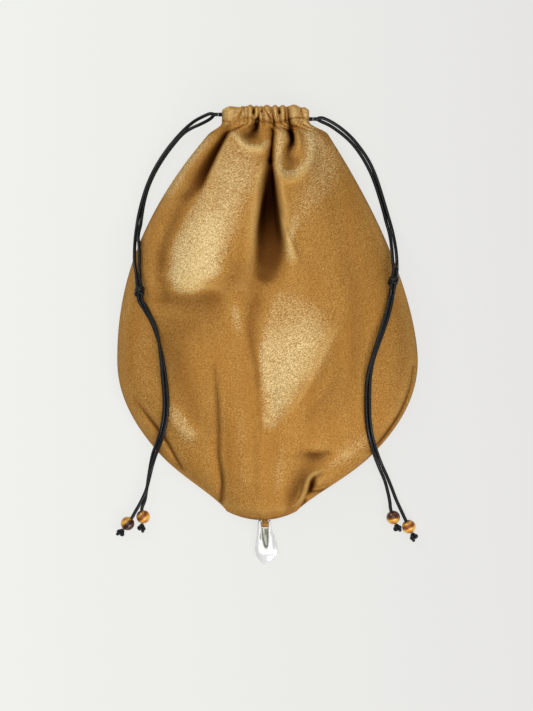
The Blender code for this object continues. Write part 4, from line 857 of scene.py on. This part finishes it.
def silver():
    """Polished cast silver, pale where it faces the room, with a painted reflection that turns it dull
    grey-green down its groove, its slit and its facet.
    """
    made = Material("silver", Specular_IOR_Level=0.6)
    wave = made.noise(made.object_place(), 120.0, 2.0, 0.5)
    fine = made.noise(made.object_place(), 900.0, 2.0, 0.5)
    groove = made.layer("groove")
    pale = made.blend(made.between(wave, 0.3, 0.7), (0.76, 0.77, 0.77, 1), (0.87, 0.87, 0.86, 1))
    # painted reflection: dull grey-green and less metallic in the channel, slit and facet
    made.feed(Base_Color=made.blend(made.between(groove, 0.15, 0.9), pale, (0.40, 0.41, 0.34, 1)))
    made.feed(Metallic=made.between(groove, 0.0, 1.0, 0.30, 0.6))
    made.feed(Roughness=made.between(fine, 0.3, 0.7, 0.12, 0.22))
    made.feed(Normal=made.bump(wave, 0.0004, 0.25))
    return made.data


def gold_thread():
    """Matt gold sewing thread."""
    made = Material("gold_thread", Metallic=0.2, Roughness=0.5)
    fine = made.noise(made.object_place(), 2500.0, 2.0, 0.5)
    made.feed(Base_Color=made.blend(made.between(fine, 0.35, 0.65), (0.15, 0.065, 0.010, 1),
                                    (0.34, 0.17, 0.040, 1)))
    return made.data


def tube(bm, points, radii, sides=12):
    """A closed tube along points, with its own map: turns round it, and length along it."""
    flat = bm.loops.layers.uv.get("cord") or bm.loops.layers.uv.new("cord")
    points = [Vector(p) for p in points]
    last = len(points) - 1
    order = new_grid(bm, sides, last)
    normal = (points[1] - points[0]).orthogonal().normalized()
    frames, travelled = [], 0.0
    for i, point in enumerate(points):
        tangent = (points[min(i + 1, last)] - points[max(i - 1, 0)]).normalized()
        normal = (normal - tangent * normal.dot(tangent)).normalized()
        travelled += (point - points[max(i - 1, 0)]).length
        frames.append((point, normal, tangent.cross(normal), travelled))
    for face in {f for v in order for f in v.link_faces}:
        for loop in face.loops:
            k, i = order[loop.vert]
            loop[flat].uv = (k / sides, frames[i][3] * CORD_MAP)
    for vert, (k, i) in order.items():
        point, normal, across, _ = frames[i]
        turn = 2 * math.pi * k / sides
        radius = radii[i] if hasattr(radii, "__len__") else radii
        vert.co = (point + (normal * math.cos(turn) + across * math.sin(turn)) * radius) * MM
    close_ends(bm, list(order), sides)


def rounded(points, radius, end=1.0):
    """Radii along a tube whose two ends are rounded over."""
    lengths = [0.0]
    for a, b in zip(points, points[1:]):
        lengths.append(lengths[-1] + (Vector(b) - Vector(a)).length)
    total = lengths[-1]
    out = []
    for travelled in lengths:
        left = min(travelled, total - travelled) / (radius * end)
        out.append(radius * (TIP + (1 - TIP) * math.sqrt(max(0.0, 1 - (1 - min(1.0, left)) ** 2))))
    return out


def side_by_side(points, other):
    """Points of a strand, drawn up against another where the two run close together."""
    line = np.array([tuple(p) for p in other])
    out = []
    for i, point in enumerate(points):
        gaps = np.linalg.norm(line - np.array(tuple(point)), axis=1)
        near = Vector(line[int(np.argmin(gaps))])
        gap = (point - near).length
        apart = float(smooth_step((gap - CORD * PAIR_APART) / (CORD * PAIR_FADE)))
        kept = CORD * PAIR_CLOSE + (gap - CORD * PAIR_CLOSE) * apart
        free = float(smooth_step(i / PAIR_FREE))
        out.append(point + (near - point) * (1 - min(1.0, kept / gap)) * free)
    return out


def axes_along(way):
    """The way of a cord as a unit vector, with the ways across it and up from it."""
    way = Vector(way).normalized()
    across = way.cross(Vector((0, 0, 1))).normalized()
    return way, across, across.cross(way)


def bead_axis(bead):
    """Middle of a bead that lies on the floor, and the way its cord runs through it."""
    (x, y), (way_x, way_y) = bead
    return Vector((x, y, BEAD / 2)), Vector((way_x, way_y, 0.0)).normalized()


def cord_strand(name, start, level, upper, lower, knot, spread, way, bead, made, nodes, beside):
    """A free strand of drawcord: out of the casing, through knot and bead, to its stopper knot."""
    direction, across, lift = axes_along(knot[1])
    reach = KNOT_LENGTH / 2 + CLEAR
    left_out = (spread > 0) == (way < 0)
    middle = (Vector(knot[0]) + across * (PAIR_SIDE * CORD) * (1 if left_out else -1)
              + lift * (PAIR_TILT * CORD) * (-spread))
    at, along = bead_axis(bead)
    first = Vector((start, level, CASING_MIDDLE + spread * EXIT_SPREAD))
    top, below = middle - direction * reach, middle + direction * reach
    route = [first, first + Vector((way * CORD, 0, 0)), *upper, top - direction * CORD, top, middle,
             below, below + direction * CORD, *lower, at - along * (BEAD / 2), at + along * (BEAD / 2)]
    points = curve_points(route, CORD_STEP)
    if beside:
        points = side_by_side(points, beside)
    bm = bmesh.new()
    tube(bm, points, CORD / 2)
    strand = placed(name, bm, "bag", made, nodes)
    length = sum((b - a).length for a, b in zip(points, points[1:]))
    [tuple(p * MM) for p in points]
    return points


def coil(centre, direction, radius, length, turns, start):
    """Points of a helix round a cord, as the outer loops of a tight knot."""
    direction, across, lift = axes_along(direction)
    points = []
    count = round(turns * KNOT_STEPS)
    for i in range(count + 1):
        t = i / count
        a = start + 2 * math.pi * turns * t
        ease = 1 - KNOT_DRAWN_IN + KNOT_DRAWN_IN * math.sqrt(max(0.0, math.sin(math.pi * t)))
        points.append(Vector(centre) + direction * (length * (t - 0.5))
                      + (across * math.cos(a) + lift * math.sin(a) * KNOT_SQUEEZE) * radius * ease)
    return points


def pair_knot(name, knot, node, made):
    """The knot that ties a cord's two strands: two wraps round them and one pass over the front."""
    middle = Vector(knot[0])
    direction, across, lift = axes_along(knot[1])
    bm = bmesh.new()
    for shift, radius, start, turns, length in KNOT_WRAPS:
        loop = coil(middle + direction * shift, direction, radius, length, turns, start)
        tube(bm, loop, rounded(loop, KNOT_RADII[0]))
    over = curve_points([middle + across * x + direction * y + lift * z for x, y, z in KNOT_PASS], 0.5)
    tube(bm, over, rounded(over, KNOT_RADII[1]))
    return placed(name, bm, "bag", made, [node])


def stopper_knot(name, start, along, node, tail_way, made):
    """A tight overhand knot in one strand, with its short cut tail."""
    along, across, _ = axes_along(along)
    centre = start + along * STOPPER_REACH
    wide, long, deep = STOPPER_SIZE
    bm = bmesh.new()
    loops = []
    for i in range(STOPPER_STEPS + 1):
        turn = 2 * math.pi * i / STOPPER_STEPS
        loops.append(centre + across * (wide * (math.sin(turn) + 2 * math.sin(2 * turn)))
                     + along * (long * (math.cos(turn) - 2 * math.cos(2 * turn)))
                     + Vector((0, 0, -deep * math.sin(3 * turn))))
    tube(bm, loops, STOPPER_RADIUS)
    tube(bm, curve_points([start, centre], 0.5), STOPPER_CORE)
    tail = curve_points([centre + along * y + across * x * tail_way + Vector((0, 0, z))
                         for x, y, z in STOPPER_TAIL], 0.4)
    tube(bm, tail, rounded(tail, STOPPER_RADIUS, STOPPER_CUT))
    return placed(name, bm, "bag", made, [node])


def stone_bead(name, bead, turn, dark_from):
    """A drilled round bead, a little soft at the rims of its bore."""
    centre, along = bead_axis(bead)
    radius, bore = BEAD / 2, BEAD_BORE / 2
    start = math.asin((bore + BORE_RIM) / radius)
    rim = radius * math.cos(start)
    profile = [(bore, BORE_DEEP - rim), (bore + BORE_STEP, BORE_STEP - rim)]
    for i in range(25):
        around = start + (math.pi - 2 * start) * i / 24
        profile.append((radius * math.sin(around), -radius * math.cos(around)))
    profile += [(bore + BORE_STEP, rim - BORE_STEP), (bore, rim - BORE_DEEP)]
    bm = bmesh.new()
    ring = [bm.verts.new((r * MM, 0.0, d * MM)) for r, d in profile]
    edges = [bm.edges.new(pair) for pair in zip(ring, ring[1:])]
    edges.append(bm.edges.new((ring[-1], ring[0])))
    bmesh.ops.spin(bm, geom=ring + edges, axis=(0, 0, 1), cent=(0, 0, 0), angle=2 * math.pi,
                   steps=48, use_merge=True)
    bmesh.ops.remove_doubles(bm, verts=bm.verts, dist=MERGE)
    bmesh.ops.recalc_face_normals(bm, faces=bm.faces)
    upright = Vector((0, 0, 1)).rotation_difference(along).to_matrix().to_4x4()
    bmesh.ops.transform(bm, matrix=Matrix.Translation(centre * MM) @ upright, verts=bm.verts)
    made = tiger_eye(name, tuple(centre * MM), turn, dark_from)
    return placed(name + "_stone", bm, name, made, [name], 50)


def silver_drop(made):
    """The cast teardrop: a forked top, a channel down its front and a pointed tip."""
    bm = bmesh.new()
    reflection_mask = bm.verts.layers.float.new("groove")
    grid = bmesh.ops.create_grid(bm, x_segments=DROP_COLUMNS, y_segments=DROP_ROWS, size=1.0)["verts"]
    for vert in grid:
        turn = math.pi * (vert.co.x + 1)
        share = DROP_TOP + (1 - DROP_TOP) * (1 - vert.co.y) / 2
        left, right, deep, middle, half, depth = (float(through(rows, share)) for rows in DROP_SECTIONS)
        c, s = math.cos(turn), math.sin(turn)
        x = (right if c > 0 else left) * math.copysign(abs(c) ** DROP_SQUARE[0], c)
        z = deep * math.copysign(abs(s) ** DROP_SQUARE[1], s)
        if s > 0:
            channel = max(0.0, depth) * math.exp(-((x - middle) / max(half, 0.2)) ** 6)
            facet = math.exp(-((x - FACET[0] - FACET[1] * share) / FACET[2]) ** 2)
            facet *= float(smooth_step((share - FACET_FADE[0]) / FACET_FADE[1]))
            slit = math.exp(-((x - SLIT[0]) / SLIT[1]) ** 2)
            slit *= float(smooth_step((SLIT_FADE[0] - share) / SLIT_FADE[1]))
            z += FACET[3] * facet - SLIT[2] * slit - CHANNEL_DEEP * deep * channel
            # painted reflection: strongest down the channel, less in the slit and faint on the facet
            vert[reflection_mask] = max(channel, 0.8 * slit, 0.25 * facet)
        vert.co = Vector((x, -PENDANT_LENGTH * share, z)) * MM
    close_ends(bm, grid, DROP_COLUMNS)
    for x, radius in PRONGS:
        before = set(bm.verts)
        tube(bm, [(x, y, 0.0) for y, _ in PRONG_ROWS], [radius * share for _, share in PRONG_ROWS], 16)
        for vert in set(bm.verts) - before:
            vert.co.z *= PRONG_DEEP / radius
    bmesh.ops.create_cone(bm, cap_ends=True, segments=24, radius1=CROSSBAR_RADIUS * MM,
                          radius2=CROSSBAR_RADIUS * MM, depth=CROSSBAR_LENGTH * MM,
                          matrix=Matrix.Rotation(math.pi / 2, 4, "Y"))
    place = Matrix.Translation(Vector(PIVOT) * MM) @ Matrix.Rotation(PENDANT_TILT, 4, "X")
    bmesh.ops.transform(bm, matrix=place, verts=bm.verts)
    return placed("silver_drop", bm, "pendant", made, ["silver_pendant"], 40)


def tab_loop(made):
    """The satin strip round the crossbar, tucked into the bottom seam."""
    middle = CROSSBAR_RADIUS + TAB_CLEAR + TAB_WALL / 2
    leg = TAB_LEG + TAB_WALL / 2
    outline = [(y, leg) for y in TAB_ENDS]
    for i in range(21):
        turn = math.radians(50 + 260 * i / 20)
        outline.append((middle * math.cos(turn), middle * math.sin(turn)))
    outline += [(y, -leg) for y in reversed(TAB_ENDS)]
    bm = bmesh.new()
    flat = bm.loops.layers.uv.new("cloth")
    line = [bm.verts.new(Vector((-TAB_WIDTH / 2, y, z)) * MM) for y, z in outline]
    edges = [bm.edges.new(pair) for pair in zip(line, line[1:])]
    for _ in range(TAB_STEPS):
        grown = bmesh.ops.extrude_edge_only(bm, edges=edges)["geom"]
        verts = [g for g in grown if isinstance(g, bmesh.types.BMVert)]
        bmesh.ops.translate(bm, verts=verts, vec=Vector((TAB_WIDTH / TAB_STEPS, 0, 0)) * MM)
        edges = [g for g in grown if isinstance(g, bmesh.types.BMEdge)
                 and all(v in verts for v in g.verts)]
    for face in bm.faces:
        for loop in face.loops:
            loop[flat].uv = (loop.vert.co.x, loop.vert.co.y)
    bmesh.ops.recalc_face_normals(bm, faces=bm.faces)
    bmesh.ops.translate(bm, verts=bm.verts, vec=Vector(PIVOT) * MM)
    return placed("tab_loop", bm, "bag", made, ["pendant_tab"], wall=TAB_WALL)


def stitches(name, row, made):
    """The row of stitches that closes a casing, along a row of places on its cloth."""
    line = np.array(row) + np.array((0.0, 0.0, WALL / 2))
    along = np.concatenate([[0.0], np.cumsum(np.linalg.norm(np.diff(line, axis=0), axis=1))])
    bm = bmesh.new()
    start = STITCH_PITCH / 2
    while start + STITCH_LENGTH < along[-1]:
        places = [[float(np.interp(start + STITCH_LENGTH * t, along, line[:, axis])) for axis in range(3)]
                  for t, _ in STITCH_PATH]
        start += STITCH_PITCH
        if min(abs(places[2][0] - slot) for slot in SLOTS) < SLOT_HALF:
            continue
        for place, (_, dip) in zip(places, STITCH_PATH):
            place[2] += dip
        tube(bm, places, THREAD / 2, 8)
    return placed(name, bm, "bag", made)


def drawcord(side, way, start, level, routes, knot, beads, darks, made):
    """One cord's two free strands with the knot that ties them, their beads and stopper knots."""
    tie = pair_knot(side + "_tie", knot, side + "_knot", made)
    points = None
    for i, letter in enumerate("ab"):
        spread = 1 - 2 * i
        stone = stone_bead(f"{side}_bead_{letter}", beads[i], *darks[i])
        at, along = bead_axis(beads[i])
        end = stopper_knot(f"{side}_end_{letter}", at + along * (BEAD / 2 + CLEAR), along,
                           f"{side}_stopper_knot_{letter}", spread, made)
        nodes = [f"{side}_cord_upper_{letter}", f"{side}_cord_lower_{letter}"]
        points = cord_strand(f"{side}_strand_{letter}", start, level, routes[i], routes[2 + i], knot, spread,
                             way, beads[i], made, nodes, points)


def area_light(name, place, size, power, colour):
    """A soft rectangular light that faces the bag."""
    light = bpy.data.lights.new(name, "AREA")
    light.shape = "RECTANGLE"
    light.size, light.size_y = size[0] * MM, size[1] * MM
    light.energy = power
    light.color = colour
    lamp = linked(name, light)
    lamp.location = Vector(place) * MM
    lamp.rotation_euler = (Vector(LIGHTS_AIM) - Vector(place)).to_track_quat("-Z", "Y").to_euler()


def floor_and_world():
    """A pale floor that the camera sees even but for a painted fall-off of light from left to right, and a
    soft sky.
    """
    made = Material("floor", Roughness=1.0, Base_Color=(0.80, 0.80, 0.78, 1))
    across = made.node("ShaderNodeSeparateXYZ", {}, {"Vector": made.object_place()})
    # painted fall-off of light across the floor, lighter on the left
    pale = made.blend(made.between(across, -0.15, 0.15), FLOOR_LEFT, FLOOR_RIGHT)
    glow = made.node("ShaderNodeEmission", {}, {"Color": pale, "Strength": 1.0})
    shown = made.node("ShaderNodeLightPath")
    lit = Value(made, made.shader.outputs[0])
    mixed = made.node("ShaderNodeMixShader", {}, {"Fac": shown * FLOOR_EVEN, 1: lit, 2: glow})
    made.tree.links.new(mixed.socket, made.tree.nodes["Material Output"].inputs["Surface"])
    bm = bmesh.new()
    bmesh.ops.create_grid(bm, x_segments=2, y_segments=2, size=4.0)
    meshed("floor", bm, made.data)
    world = bpy.data.worlds.new("sky")
    world.use_nodes = True
    background = world.node_tree.nodes["Background"]
    background.inputs["Color"].default_value = (0.93, 0.96, 1.0, 1)
    background.inputs["Strength"].default_value = SKY
    bpy.context.scene.world = world


def straight_down_camera():
    """A camera straight above the bag that frames it as the photograph does."""
    view = bpy.data.cameras.new("camera")
    view.sensor_fit = "VERTICAL"
    view.sensor_height = 24.0
    height = PICTURE_HEIGHT * MM_PER_PIXEL
    view.lens = view.sensor_height * (CAMERA_HEIGHT - FOCUS_HEIGHT) / height
    view.clip_start, view.clip_end = 0.01, 20.0
    camera = linked("camera", view)
    camera.location = Vector((*FRAME_CENTRE, CAMERA_HEIGHT)) * MM
    bpy.context.scene.camera = camera


straight_down_camera()
floor_and_world()
for light in LIGHTS:
    area_light(*light)
bpy.context.scene.view_settings.view_transform = "Standard"

satin, cord_black, metal = gold_satin(), black_cord(), silver()
front, front_seam = cloth_piece("front_cloth", 1, 190, 190, 11, FRONT_RUFFLES, FRONT_FOLDS + CASING_FOLDS,
                                "front_panel", satin)
back, _ = cloth_piece("back_cloth", -1, 90, 90, 6, BACK_RUFFLES, (), "back_panel", satin)
stitches("casing_stitches", front_seam, gold_thread())
for name in ("left_cord_in_casing", "right_cord_in_casing"):
    bpy.data.objects[name].data.materials[0] = cord_black
drawcord("left", -1, EXIT_LEFT, LEFT_LEVEL, (LEFT_UPPER_A, LEFT_UPPER_B, LEFT_LOWER_A, LEFT_LOWER_B),
         LEFT_KNOT, LEFT_BEADS, ((-2.4, -0.8), (0.8, 2.6)), cord_black)
drawcord("right", 1, EXIT_RIGHT, RIGHT_LEVEL, (RIGHT_UPPER_A, RIGHT_UPPER_B, RIGHT_LOWER_A, RIGHT_LOWER_B),
         RIGHT_KNOT, RIGHT_BEADS, ((0.5, 3.2), (0.2, 0.0)), cord_black)
tab_loop(satin)
silver_drop(metal)
